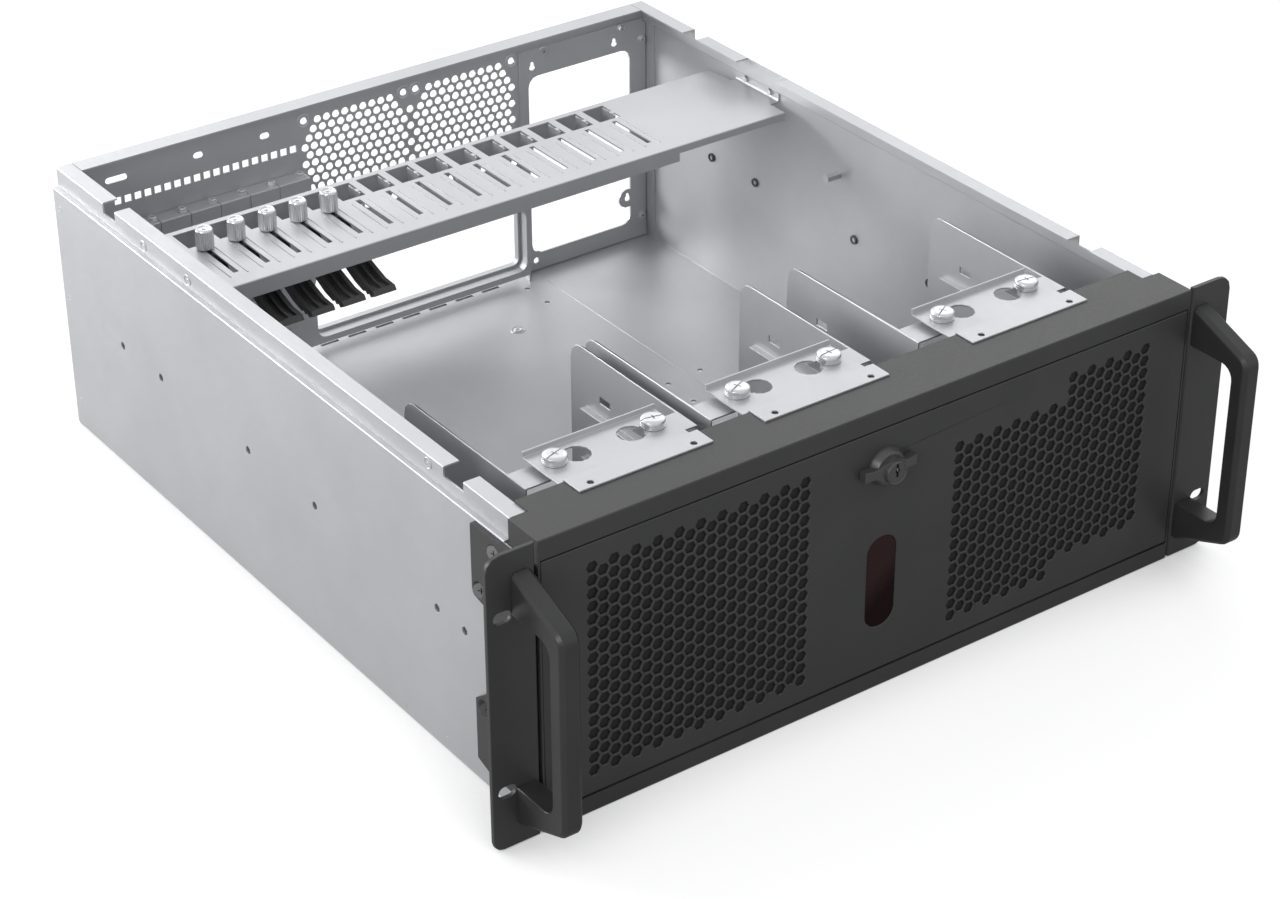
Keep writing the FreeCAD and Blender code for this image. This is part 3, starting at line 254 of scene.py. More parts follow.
def tintedAcrylic(name, settings):
    # smoked red acrylic: its colour is graded along a slant as painted shade of the space behind the lens,
    # darker towards the bottom and lighter towards the top, with fine upright lines
    material, nodes, links, shader, where = newFinish(name)
    # painted shade: the colour follows a slant across the lens, darker towards the bottom
    paintedShadeSlant = nodes.new("ShaderNodeVectorMath")
    paintedShadeSlant.operation = "DOT_PRODUCT"
    paintedShadeSlant.inputs[1].default_value = settings["paintedShadeSlant"]
    links.new(where, paintedShadeSlant.inputs[0])
    stretch = settings["lineStretch"]
    fineLines = noise(nodes, links, where, settings["lineScale"], detail=2, rough=0.5, stretch=stretch)
    both = nodes.new("ShaderNodeMath")
    both.operation = "MULTIPLY_ADD"
    both.inputs[1].default_value = settings["lines"]
    links.new(fineLines, both.inputs[0])
    links.new(paintedShadeSlant.outputs["Value"], both.inputs[2])
    tone = toned(nodes, links, both.outputs[0], settings["dark"], settings["light"], *settings["band"])
    links.new(tone, shader.inputs["Base Color"])
    wipe = noise(nodes, links, where, settings["wipeScale"], detail=2, rough=0.5)
    links.new(spread(nodes, links, wipe, *settings["roughness"]), shader.inputs["Roughness"])
    shader.inputs["IOR"].default_value = settings["ior"]
    shader.inputs["Specular IOR Level"].default_value = settings["specular"]
    return material


def openFoam(name, settings):
    # reticulated filter foam: small open cells, each painted darker towards its hollow middle as painted
    # shade
    material, nodes, links, shader, where = newFinish(name)
    cells = nodes.new("ShaderNodeTexVoronoi")
    cells.inputs["Scale"].default_value = settings["cellScale"]
    links.new(where, cells.inputs["Vector"])
    depth = cells.outputs["Distance"]
    # painted shade: the colour darkens towards each cell's middle, where the bump makes the pore deepest
    tone = toned(nodes, links, depth, settings["dark"], settings["light"], *settings["band"])
    links.new(tone, shader.inputs["Base Color"])
    ragged = noise(nodes, links, where, settings["raggedScale"], detail=3, rough=0.6)
    links.new(spread(nodes, links, ragged, *settings["roughness"]), shader.inputs["Roughness"])
    shader.inputs["Specular IOR Level"].default_value = settings["specular"]
    bumped(nodes, links, shader, depth, settings["cellDepth"], 1.0)
    return material


steelSettings = {
    "dark": (0.55, 0.553, 0.566), "light": (0.60, 0.603, 0.616), "metal": 0.64, "roughness": (0.42, 0.50),
    "cloudScale": 14, "grainScale": 900, "grainStretch": (1, 0.12, 1), "grainDepth": 0.008,
}
paintSettings = {
    "dark": (0.040, 0.040, 0.0405), "light": (0.047, 0.047, 0.0475), "roughness": (0.38, 0.48),
    "cloudScale": 20, "peelScale": 950, "peelDepth": 0.03,
}
handleFinishSettings = {
    "dark": (0.028, 0.028, 0.0285), "light": (0.034, 0.034, 0.0345), "roughness": (0.30, 0.40),
    "cloudScale": 30, "peelScale": 1400, "peelDepth": 0.02,
}
clampFinishSettings = {
    "dark": (0.040, 0.040, 0.040), "light": (0.050, 0.050, 0.050), "roughness": (0.26, 0.36),
    "cloudScale": 60, "peelScale": 1200, "peelDepth": 0.02,
}
platedSettings = {
    "dark": (0.68, 0.68, 0.69), "light": (0.74, 0.74, 0.75), "metal": 0.9, "roughness": (0.30, 0.38),
    "markScale": 1600, "markDepth": 0.004,
}
blackenedSettings = {
    "dark": (0.26, 0.26, 0.262), "light": (0.32, 0.32, 0.322), "metal": 0.7, "roughness": (0.3, 0.42),
    "markScale": 1600, "markDepth": 0.008,
}
lockFinishSettings = {
    "dark": (0.082, 0.082, 0.083), "light": (0.10, 0.10, 0.101), "metal": 0.4, "roughness": (0.26, 0.36),
    "markScale": 1300, "markDepth": 0.008,
}
acrylicSettings = {
    "dark": (0.009, 0.0012, 0.0015), "light": (0.030, 0.013, 0.013), "specular": 0.12, "ior": 1.49,
    "roughness": (0.26, 0.32), "paintedShadeSlant": (-6.0, 0, 8.0), "band": (0.46, 0.60),
    "lines": 0.04, "lineScale": 700, "lineStretch": (1, 1, 0.02), "wipeScale": 500,
}
foamSettings = {
    "dark": (0.006, 0.006, 0.006), "light": (0.016, 0.016, 0.016), "specular": 0.2, "roughness": (0.85, 1.0),
    "band": (0.2, 0.7), "cellScale": 900, "raggedScale": 540, "cellDepth": 0.5,
}

slotFinishes = {
    "galvanised_steel": galvanisedSheet("galvanisedSteel", steelSettings),
    "black_powder_coat": powderCoat("blackPowderCoat", paintSettings),
    "black_handles": powderCoat("blackHandles", handleFinishSettings),
    "clamp_plastic": powderCoat("clampPlastic", clampFinishSettings),
    "plated_screws": platedMetal("platedScrews", platedSettings),
    "black_screws": platedMetal("blackScrews", blackenedSettings),
    "lock_metal": platedMetal("lockMetal", lockFinishSettings),
    "tinted_window": tintedAcrylic("tintedWindow", acrylicSettings),
    "filter_foam": openFoam("filterFoam", foamSettings),
}
for slotRow in frame["record"]["materials"]:
    for nodeName in slotRow.get("nodes", []):
        for materialSlot in frame["nodes"][nodeName].material_slots:
            materialSlot.material = slotFinishes[slotRow["slot"]]
print("finishes ready")


# Camera, lights and floor

# place, lens and sensor in millimetres, the farthest view in metres
cameraSettings = {
    "place": (-881.1, -1011.7, 947.8), "azimuth": -35.757, "elevation": 30.943, "roll": -0.210,
    "lens": 86.77, "sensor": 36, "farthest": 50,
}


def makeCamera():
    settings = cameraSettings
    azimuth = math.radians(settings["azimuth"])
    elevation = math.radians(settings["elevation"])
    across = math.cos(elevation)
    back = Vector((math.sin(azimuth) * across, -math.cos(azimuth) * across, math.sin(elevation)))
    bpy.ops.object.camera_add(location=[mm(v) for v in settings["place"]])
    camera = bpy.context.object
    camera.rotation_mode = "QUATERNION"
    roll = Quaternion((0, 0, 1), math.radians(settings["roll"]))
    camera.rotation_quaternion = back.to_track_quat("Z", "Y") @ roll
    camera.data.lens = settings["lens"]
    camera.data.sensor_width = settings["sensor"]
    camera.data.clip_end = settings["farthest"]
    bpy.context.scene.camera = camera


# the studio's distances are metres
lightSettings = {
    "rearLeftSoftbox": {"place": (-1.2, 1.9, 0.45), "aim": (0, 0.4, 0.1), "size": 0.8, "power": 30.8},
    "rearSoftbox": {"place": (0.4, 2.8, 1.8), "aim": (0, 0.25, 0.1), "size": 1.8, "power": 14.8},
    "frontLeftFill": {"place": (-2.4, -0.8, 1.2), "aim": (-0.1, 0.2, 0.08), "size": 1.2, "power": 16.5},
    "rearRightFill": {"place": (2.2, 1.8, 1.9), "aim": (0, 0.25, 0.1), "size": 1.8, "power": 10.4},
}


def makeLights():
    for name, settings in lightSettings.items():
        bpy.ops.object.light_add(type="AREA", location=settings["place"])
        lamp = bpy.context.object
        lamp.name = name
        lamp.data.shape = "DISK"
        lamp.data.size = settings["size"]
        lamp.data.energy = settings["power"]
        aim = Vector(settings["aim"]) - Vector(settings["place"])
        lamp.rotation_mode = "QUATERNION"
        lamp.rotation_quaternion = aim.to_track_quat("-Z", "Y")


worldSettings = {"fill": 0.8, "fillColour": (0.97, 0.98, 1.0)}


def makeWorld():
    # soft fill all round, and a white backdrop for the camera alone
    world = bpy.data.worlds.new("studio")
    bpy.context.scene.world = world
    world.use_nodes = True
    nodes, links = world.node_tree.nodes, world.node_tree.links
    fill = nodes["Background"]
    fill.inputs["Color"].default_value = (*worldSettings["fillColour"], 1)
    fill.inputs["Strength"].default_value = worldSettings["fill"]
    white = nodes.new("ShaderNodeBackground")
    white.inputs["Color"].default_value = (1, 1, 1, 1)
    path = nodes.new("ShaderNodeLightPath")
    mix = nodes.new("ShaderNodeMixShader")
    links.new(path.outputs["Is Camera Ray"], mix.inputs["Fac"])
    links.new(fill.outputs["Background"], mix.inputs[1])
    links.new(white.outputs["Background"], mix.inputs[2])
    links.new(mix.outputs["Shader"], nodes["World Output"].inputs["Surface"])


floorSettings = {
    "size": 14, "middle": 0.25, "level": -0.0002, "albedo": 0.42, "roughness": 0.9, "glow": 0.69,
    # how far the painted contact shadow reaches, and the occlusion above which the glow is no longer dimmed
    "paintedShadowReach": 0.12, "paintedShadowFadeEnd": 0.64,
}


def makeFloor():
    # a matt floor with a glow that only the camera sees; ambient occlusion fades the glow near and under the
    # case, a painted contact shadow
    settings = floorSettings
    place = (0, settings["middle"], settings["level"])
    bpy.ops.mesh.primitive_plane_add(size=settings["size"], location=place)
    floor = named("studioFloor")
    material = bpy.data.materials.new("paleFloor")
    material.use_nodes = True
    nodes, links = material.node_tree.nodes, material.node_tree.links
    shader = nodes["Principled BSDF"]
    shade = settings["albedo"]
    shader.inputs["Base Color"].default_value = (shade, shade, shade, 1)
    shader.inputs["Roughness"].default_value = settings["roughness"]
    shader.inputs["Specular IOR Level"].default_value = 0
    # painted shadow: ambient occlusion dims the floor's glow near and under the case
    paintedShadowOcclusion = nodes.new("ShaderNodeAmbientOcclusion")
    paintedShadowOcclusion.inputs["Distance"].default_value = settings["paintedShadowReach"]
    glowUnderPaintedShadow = spread(nodes, links, paintedShadowOcclusion.outputs["AO"], 0, settings["glow"], 0, settings["paintedShadowFadeEnd"])
    path = nodes.new("ShaderNodeLightPath")
    strength = nodes.new("ShaderNodeMath")
    strength.operation = "MULTIPLY"
    links.new(path.outputs["Is Camera Ray"], strength.inputs[0])
    links.new(glowUnderPaintedShadow, strength.inputs[1])
    glow = nodes.new("ShaderNodeEmission")
    links.new(strength.outputs[0], glow.inputs["Strength"])
    both = nodes.new("ShaderNodeAddShader")
    links.new(shader.outputs["BSDF"], both.inputs[0])
    links.new(glow.outputs["Emission"], both.inputs[1])
    links.new(both.outputs["Shader"], nodes["Material Output"].inputs["Surface"])
    floor.data.materials.append(material)


makeCamera()
makeLights()
makeWorld()
makeFloor()
bpy.context.scene.view_settings.view_transform = "Standard"
print("camera, lights and floor ready")


# Door: a folded pan with two punched honeycomb grilles

doorSettings = {
    "halfWidth": 210.3, "bottom": 11.6, "top": 158.7, "sheet": 1.5, "returnDepth": 9.5, "edge": 0.3,
    "cell": 7.5, "hole": 6.0,
    # first column, first row, number of columns and of rows of every second column
    "blocks": ((-180.8, 25.0, 11, 17), (-174.305, 28.75, 10, 16), (51.0, 25.0, 6, 15), (57.495, 28.75, 5, 14),
               (122.445, 36.25, 1, 13), (128.94, 40.0, 5, 15), (135.435, 36.25, 4, 15)),
    # middle, width, height and corner radius, then middle and radius
    "window": (0.8, 66.45, 19.6, 55.5, 9.2), "lock": (0.5, 137.0, 5.3),
}
upright = (math.pi / 2, 0, 0)


def honeycombBlock(x, z, columns, rows):
    # one punched cell, then copies up the column and across
    cell, hole = doorSettings["cell"], doorSettings["hole"]
    bpy.ops.mesh.primitive_circle_add(vertices=6, radius=mm(cell / math.sqrt(3)), fill_type="NGON",
                                      location=(mm(x), 0, mm(z)), rotation=(math.pi / 2, math.pi / 6, 0))
    block = named("honeycomb")
    placeApplied(block)
    openMesh(block)
    chooseAll()
    bpy.ops.mesh.inset(thickness=mm((cell - hole) / 2))
    bpy.ops.mesh.delete(type="FACE")
    closeMesh()
    for count, step in ((rows, (0, 0, mm(cell))), (columns, (mm(cell * math.sqrt(3)), 0, 0))):
        modified(block, "ARRAY", count=count, use_relative_offset=False, use_constant_offset=True,
                 constant_offset_displace=step)
    return block


def outlineLoop(name, halfAcross, halfTall, corner, centre, steps=10):
    # flat rounded outline in the door's plane, as edges only
    bpy.ops.mesh.primitive_plane_add(size=1, location=(mm(centre[0]), 0, mm(centre[1])), rotation=upright)
    piece = named(name)
    piece.scale = (mm(2 * halfAcross), mm(2 * halfTall), 1)
    placeApplied(piece)
    openMesh(piece, "VERT")
    chooseAll()
    if corner:
        bpy.ops.mesh.bevel(offset=mm(corner), segments=steps, affect="VERTICES")
    chooseAll()
    bpy.ops.mesh.delete(type="ONLY_FACE")
    closeMesh()
    return piece


def makeDoor():
    settings = doorSettings
    blocks = [honeycombBlock(*row) for row in settings["blocks"]]
    halfTall = (settings["top"] - settings["bottom"]) / 2
    outer = outlineLoop("doorOutline", settings["halfWidth"], halfTall, 0, (0, settings["bottom"] + halfTall))
    x, z, across, high, corner = settings["window"]
    window = outlineLoop("windowOutline", across / 2, high / 2, corner, (x, z))
    x, z, radius = settings["lock"]
    bpy.ops.mesh.primitive_circle_add(vertices=32, radius=mm(radius), location=(mm(x), 0, mm(z)),
                                      rotation=upright)
    lockHole = named("lockOutline")
    placeApplied(lockHole)
    door = joinedPieces([*blocks, outer, window, lockHole], "doorPanel")

    openMesh(door)
    chooseAll()
    bpy.ops.mesh.remove_doubles(threshold=mm(0.02))
    bpy.ops.mesh.select_mode(type="EDGE")
    bpy.ops.mesh.select_all(action="DESELECT")
    rimLength = mm((settings["hole"] + settings["cell"]) / 2 / math.sqrt(3))

    def onBorder(edge):
        # the zigzag outline of a grille, or a loop of plain edges, but no rim of a punched hole
        faces = len(edge.link_faces)
        return faces == 0 or (faces == 1 and edge.calc_length() > rimLength)

    choose(door, "edges", onBorder)
    bpy.ops.mesh.fill(use_beauty=True)
    faceOutward()
    closeMesh()
    if sum(p.normal.y * p.area for p in door.data.polygons) > 0:
        openMesh(door)
        chooseAll()
        bpy.ops.mesh.flip_normals()
        closeMesh()

    openMesh(door, "EDGE")  # the returns, folded back all round
    low, high, half = mm(settings["bottom"]), mm(settings["top"]), mm(settings["halfWidth"])

    def onRim(edge):
        middle = middleOf(edge)
        fromRim = min(abs(middle.z - low), abs(middle.z - high), abs(abs(middle.x) - half))
        return len(edge.link_faces) == 1 and fromRim < tiny

    choose(door, "edges", onRim)
    extrudeBy(0, settings["returnDepth"], 0)
    closeMesh()
    modified(door, "SOLIDIFY", thickness=mm(settings["sheet"]), offset=-1, use_even_offset=True)
    eased(door, settings["edge"], angle=70)
    finished(door, "door", "black_powder_coat", ["door"], smooth=25)
    print("door:", len(door.data.polygons), "faces")


makeDoor()


# Helpers for turned heads, recesses and copies

def drawUp(rows):
    # extrudes what is selected ring by ring: radius and height of each, the first being there already
    radius, level = rows[0]
    for nextRadius, nextLevel in rows[1:]:
        extrudeBy(0, 0, nextLevel - level)
        share = nextRadius / radius
        if abs(share - 1) > 1e-6:
            bpy.ops.transform.resize(value=(share, share, 1), center_override=(0, 0, mm(nextLevel)))
        radius, level = nextRadius, nextLevel


def turned(name, sides, rows):
    # a turned or pressed round piece
    radius, level = rows[0]
    bpy.ops.mesh.primitive_circle_add(vertices=sides, radius=mm(radius), fill_type="NGON",
                                      location=(0, 0, mm(level)))
    piece = named(name)
    placeApplied(piece)
    openMesh(piece)
    chooseAll()
    drawUp(rows)
    faceOutward()
    closeMesh()
    return piece


def shifted(profile, radius, level):
    # a profile given by its steps from a radius and a height
    return [(radius + grow, level + rise) for grow, rise in profile]


def cutBox(size, place, turn=0.0, taper=1.0):
    # a box to cut with, narrower at its lower end
    bpy.ops.mesh.primitive_cube_add(size=1)
    box = named("cutBox")
    box.scale = [mm(v) for v in size]
    box.rotation_euler = (0, 0, math.radians(turn))
    box.location = [mm(v) for v in place]
    placeApplied(box)
    if taper != 1:
        low = mm(place[2])
        openMesh(box)
        choose(box, "faces", lambda face: face.normal.z < -0.9 and middleOf(face).z < low)
        bpy.ops.transform.resize(value=(taper, taper, 1), center_override=(mm(place[0]), mm(place[1]), low))
        closeMesh()
    return box


def cutWith(piece, cutter, operation="DIFFERENCE"):
    modified(piece, "BOOLEAN", operation=operation, object=cutter, solver="EXACT")
    bpy.data.objects.remove(cutter, do_unlink=True)


def crossRecess(piece, top, reach, width, depth):
    for turn in (0, 90):
        cutWith(piece, cutBox((2 * reach, width, 2 * depth), (0, 0, top), turn, taper=0.5))


def setAt(piece, place, turn=(0, 0, 0)):
    piece.rotation_euler = [math.radians(v) for v in turn]
    piece.location = [mm(v) for v in place]
    placeApplied(piece)
    return piece


def copiesAt(piece, rows, name):
    # one model, copied to each place with its own mesh, then joined
    copies = []
    for place, turn in rows:
        pick(piece)
        bpy.ops.object.duplicate(linked=False)
        copies.append(setAt(bpy.context.object, place, turn))
    bpy.data.objects.remove(piece, do_unlink=True)
    return joinedPieces(copies, name)


def easedBox(name, size, place, edge, turn=0.0):
    # a small bent or sheared block with broken edges
    box = cutBox(size, place, turn)
    box.name = name
    box.data.name = name
    eased(box, edge)
    return box


foldSettings = {
    "radius": 0.8, "segments": 3, "shortest": 12.0, "cutEdge": 2.5, "leastAngle": 60, "straightness": 0.99,
    "along": {"base_tray": 1, "hold_down_bar": 0, "front_frame": 0, "drive_cage": 1, "slot_cover": 0},
}


def roundFolds(piece, axis):
    # folds are the long outer edges between two broad faces; a sheet's own cut edges are left
    settings = foldSettings

    def isFold(edge):
        if len(edge.link_faces) != 2 or not edge.is_convex:
            return False
        length = edge.calc_length()
        way = edge.verts[1].co - edge.verts[0].co
        if length < mm(settings["shortest"]) or abs(way[axis]) < settings["straightness"] * length:
            return False
        if edge.calc_face_angle() < math.radians(settings["leastAngle"]):
            return False
        return all(face.calc_area() / length > mm(settings["cutEdge"]) for face in edge.link_faces)

    openMesh(piece, "EDGE")
    choose(piece, "edges", isFold)
    bpy.ops.mesh.bevel(offset=mm(settings["radius"]), segments=settings["segments"], clamp_overlap=False)
    closeMesh()


def softened(node, name, body, slot, edge, smooth=35, cutters=()):
    # a folded or pressed piece, punched where asked, with its folds rounded and sharp edges eased
    piece = nodeCopy(node, name)
    for cutter in cutters:
        cutWith(piece, cutter)
    for start, axis in foldSettings["along"].items():
        if node.startswith(start):
            roundFolds(piece, axis)
    eased(piece, edge)
    return finished(piece, body, slot, [node], smooth)


# Rear wall: the fans' fields of small round holes, and a pressed ring round each of their screw holes

rearSettings = {
    "front": 497.8, "rear": 498.8, "fanCentres": (-9.9, 70.5), "field": (-48.4, 108.8, 85.6, 152.2),
    "topRow": 153.4, "rowStep": 5.62, "pitch": 6.49, "hole": 2.5, "sides": 12,
    "counts": (9, 10, 11, 12, 11, 12, 11, 12, 11, 12, 11, 10, 9),
    # holes between the two fields, in some of the rows
    "sharedX": 30.3, "sharedRows": (2, 4, 6, 8, 10),
}


def perforationPlaces():
    settings = rearSettings
    places = []
    for row, count in enumerate(settings["counts"]):
        z = settings["topRow"] - row * settings["rowStep"]
        for centre in settings["fanCentres"]:
            first = centre - (count - 1) / 2 * settings["pitch"]
            places += [(first + i * settings["pitch"], z) for i in range(count)]
        if row in settings["sharedRows"]:
            places.append((settings["sharedX"], z))
    return places


def makeRearPanel():
    settings = rearSettings
    panel = nodeCopy("rear_panel", "rearPanel")
    rear = settings["rear"]
    depth = rear - settings["front"]
    left, right, low, high = settings["field"]
    # the source's coarse holes are closed, then the true ones are punched
    middle = ((left + right) / 2, rear - depth / 2, (low + high) / 2)
    cutWith(panel, cutBox((right - left, depth, high - low), middle), "UNION")
    bpy.ops.mesh.primitive_cylinder_add(vertices=settings["sides"], radius=mm(settings["hole"]),
                                        depth=mm(4 * depth), rotation=upright)
    punch = named("punch")
    placeApplied(punch)
    punches = copiesAt(punch, [((x, rear, z), (0, 0, 0)) for x, z in perforationPlaces()], "punches")
    cutWith(panel, punches)
    finished(panel, "case", "galvanised_steel", ["rear_panel"], smooth=25)
    print("rear panel:", len(panel.data.polygons), "faces")


ringSettings = {"fanHeight": 118.9, "hole": 35.75, "inner": 3.3, "outer": 4.6, "rise": 0.35, "slope": 0.4}


def makeFanRings():
    settings = ringSettings
    inner, outer, rise, slope = settings["inner"], settings["outer"], settings["rise"], settings["slope"]
    bpy.ops.mesh.primitive_circle_add(vertices=32, radius=mm(outer))
    ring = named("fanRing")
    placeApplied(ring)
    openMesh(ring, "EDGE")
    chooseAll()
    drawUp([(outer, 0), (outer - slope, rise), (inner + slope, rise), (inner, 0)])
    bpy.ops.mesh.select_all(action="DESELECT")
    choose(ring, "edges", lambda edge: len(edge.link_faces) == 1)
    bpy.ops.mesh.bridge_edge_loops()
    faceOutward()
    closeMesh()
    rows = []
    for x in rearSettings["fanCentres"]:
        for side in (-settings["hole"], settings["hole"]):
            for level in (-settings["hole"], settings["hole"]):
                rows.append(((x + side, rearSettings["front"], settings["fanHeight"] + level), (90, 0, 0)))
    finished(copiesAt(ring, rows, "fanScrewRings"), "case", "galvanised_steel", smooth=50)


makeRearPanel()
makeFanRings()


# Fasteners

cageScrewSettings = {
    "xs": (-160.5, -101.1, -48.0, 11.4, 88.4, 147.8), "y": 60.5, "turns": (18, -12, 24, 6, 30, -8),
    "sides": 48, "radius": 6.5, "collar": 4.5, "neck": 2.75,
    "seat": 163.0, "plateLow": 166.0, "plateTop": 167.0,
    # the rim with its two grooves, then the flat top
    "head": [(-0.5, 0), (0, 0.4), (0, 0.9), (-0.45, 1.15), (-0.45, 1.45), (0, 1.7), (0, 2.2), (-0.45, 2.45),
             (-0.45, 2.75), (0, 3.0), (0, 3.7), (-0.25, 4.3), (-1.1, 4.8), (-2.4, 5.0)],
    "cross": (2.9, 0.95, 1.6), "slotWide": 0.85, "slotDeep": 1.1,
}


def makeCageScrews():
    # shoulder screws: grooved rim, flat cross-and-slot head
    settings = cageScrewSettings
    r, collar, neck = settings["radius"], settings["collar"], settings["neck"]
    low, base = settings["plateLow"], settings["plateTop"]
    rows = [(collar, settings["seat"]), (collar, low), (neck, low), (neck, base)]
    rows += shifted(settings["head"], r, base)
    screw = turned("cageScrew", settings["sides"], rows)
    top = rows[-1][1]
    crossRecess(screw, top, *settings["cross"])
    cutWith(screw, cutBox((2 * r + 1, settings["slotWide"], 2 * settings["slotDeep"]), (0, 0, top)))
    places = [((x, settings["y"], 0), (0, 0, turn)) for x, turn in zip(settings["xs"], settings["turns"])]
    finished(copiesAt(screw, places, "cageScrews"), "case", "plated_screws", ["cage_screws"], smooth=30)


thumbSettings = {
    "xs": (-172.28, -151.96, -131.64, -111.32, -91.0), "y": 392.0, "turns": (10, 42, 75, 20, 57),
    "bottom": 150.5, "top": 163.0, "radius": 5.25, "shaft": 1.45, "shaftBottom": 136.5,
    "foot": [(-0.7, 0), (-0.25, 0.5), (0, 0.9)],
    "crown": [(0, -2.1), (-0.25, -1.7), (-0.25, -0.9), (-0.55, -0.35), (-1.1, 0), (-1.7, -0.05),
              (-2.1, -0.7)],
    "dish": (0.6, -0.85), "flutes": 26, "fluteFrom": 0.8, "fluteTo": -2.0, "fluteShare": 0.925,
    "cross": (2.0, 0.8, 1.2), "crossDrop": 0.8,
}


def makeThumbscrews():
    settings = thumbSettings
    low, high, r, shaft = settings["bottom"], settings["top"], settings["radius"], settings["shaft"]
    dishRadius, dishDepth = settings["dish"]
    rows = [(shaft, settings["shaftBottom"]), (shaft, low)]
    rows += shifted(settings["foot"], r, low) + shifted(settings["crown"], r, high)
    rows.append((dishRadius, high + dishDepth))
    sides = 2 * settings["flutes"]
    screw = turned("thumbscrew", sides, rows)

    def inFlute(vertex):
        # every second line of the barrel
        radius = math.hypot(vertex.co.x, vertex.co.y)
        step = math.atan2(vertex.co.y, vertex.co.x) / (2 * math.pi) * sides
        between = mm(low + settings["fluteFrom"]) < vertex.co.z < mm(high + settings["fluteTo"])
        return between and radius > mm(r - 0.1) and round(step) % 2 == 0

    openMesh(screw, "VERT")
    choose(screw, "verts", inFlute)
    share = settings["fluteShare"]
    bpy.ops.transform.resize(value=(share, share, 1), center_override=(0, 0, mm(low)))
    closeMesh()
    crossRecess(screw, high - settings["crossDrop"], *settings["cross"])
    for k, (x, turn) in enumerate(zip(settings["xs"], settings["turns"]), 1):
        pick(screw)
        bpy.ops.object.duplicate(linked=False)
        copy = setAt(bpy.context.object, (x, settings["y"], 0), (0, 0, turn))
        copy.name = f"thumbscrewBody_{k}"
        finished(copy, f"thumbscrew_{k}", "plated_screws", [f"thumbscrew_{k}"], smooth=22)
    bpy.data.objects.remove(screw, do_unlink=True)


def flangedHexagon(name, settings, base):
    # a hexagon head on a flanged washer, with a cross recess
    top = base + settings["height"]
    reach, chamfer = settings["hexReach"], settings["chamfer"]
    washer = turned(name, settings["sides"], shifted(settings["flange"], settings["washer"], base))
    sides = [(reach, base + settings["sunk"]), (reach, top - chamfer), (reach - chamfer, top)]
    head = turned("hexagon", 6, sides)
    crossRecess(head, top, *settings["cross"])
    cutWith(washer, head, "UNION")
    return washer


coverScrewSettings = {
    "base": 122.6, "y": 492.0, "firstX": -175.6, "pitch": 20.32, "turns": (14, 47, 5, 33, 22, 51, 9),
    "sides": 32, "washer": 3.1, "flange": [(0, 0), (0, 0.35), (-0.4, 0.6)], "sunk": 0.5, "hexReach": 2.75,
    "height": 2.2, "chamfer": 0.35, "cross": (1.5, 0.6, 1.1),
}


def makeCoverScrews():
    settings = coverScrewSettings
    screw = flangedHexagon("coverScrew", settings, settings["base"])
    places = []
    for k, turn in enumerate(settings["turns"]):
        places.append(((settings["firstX"] + k * settings["pitch"], settings["y"], 0), (0, 0, turn)))
    screws = copiesAt(screw, places, "slotCoverScrews")
    finished(screws, "case", "plated_screws", ["slot_cover_screws"], smooth=30)


earScrewSettings = {
    "places": ((33.0, 148.6), (46.8, 120.6), (46.1, 50.5)), "turns": (12, 40, 65),
    "inner": 213.1, "outer": 215.6, "sides": 36, "tip": 2.2, "head": 4.6,
    "rim": [(-0.15, -0.15), (0, -0.05), (-0.2, 0)], "cross": (2.6, 0.9, 1.6),
}


def makeEarScrews():
    # flush countersunk heads in the ears' side flanges
    settings = earScrewSettings
    depth = settings["outer"] - settings["inner"]
    rows = [(settings["tip"], 0), *shifted(settings["rim"], settings["head"], depth)]
    screw = turned("earScrew", settings["sides"], rows)
    crossRecess(screw, depth, *settings["cross"])
    places = []
    for (y, z), turn in zip(settings["places"], settings["turns"]):
        for side in (1, -1):
            places.append(((side * settings["inner"], y, z), (turn, 90 * side, 0)))
    finished(copiesAt(screw, places, "earScrews"), "case", "black_screws", ["ear_screws"], smooth=30)


plateScrewSettings = {
    "places": ((129.7, 156.0), (190.7, 156.0), (207.0, 144.3), (207.0, 16.9)), "turns": (8, 31, 50, 17),
    "rear": 496.6,
    "sides": 28, "washer": 2.9, "flange": [(0, 0), (0, 0.3), (-0.3, 0.5)], "sunk": 0.4, "hexReach": 2.6,
    "height": 2.0, "chamfer": 0.3, "cross": (1.4, 0.6, 1.0),
}


def makePlateScrews():
    settings = plateScrewSettings
    screw = flangedHexagon("plateScrew", settings, 0)
    places = []
    for (x, z), turn in zip(settings["places"], settings["turns"]):
        places.append(((x, settings["rear"], z), (90, turn, 0)))
    finished(copiesAt(screw, places, "plateScrews"), "case", "plated_screws", ["psu_plate_screws"], smooth=30)


makeCageScrews()
makeThumbscrews()
makeCoverScrews()
makeEarScrews()
makePlateScrews()
print("fasteners ready")


# Lock: tapered disc, flared wings, ringed barrel with a keyway

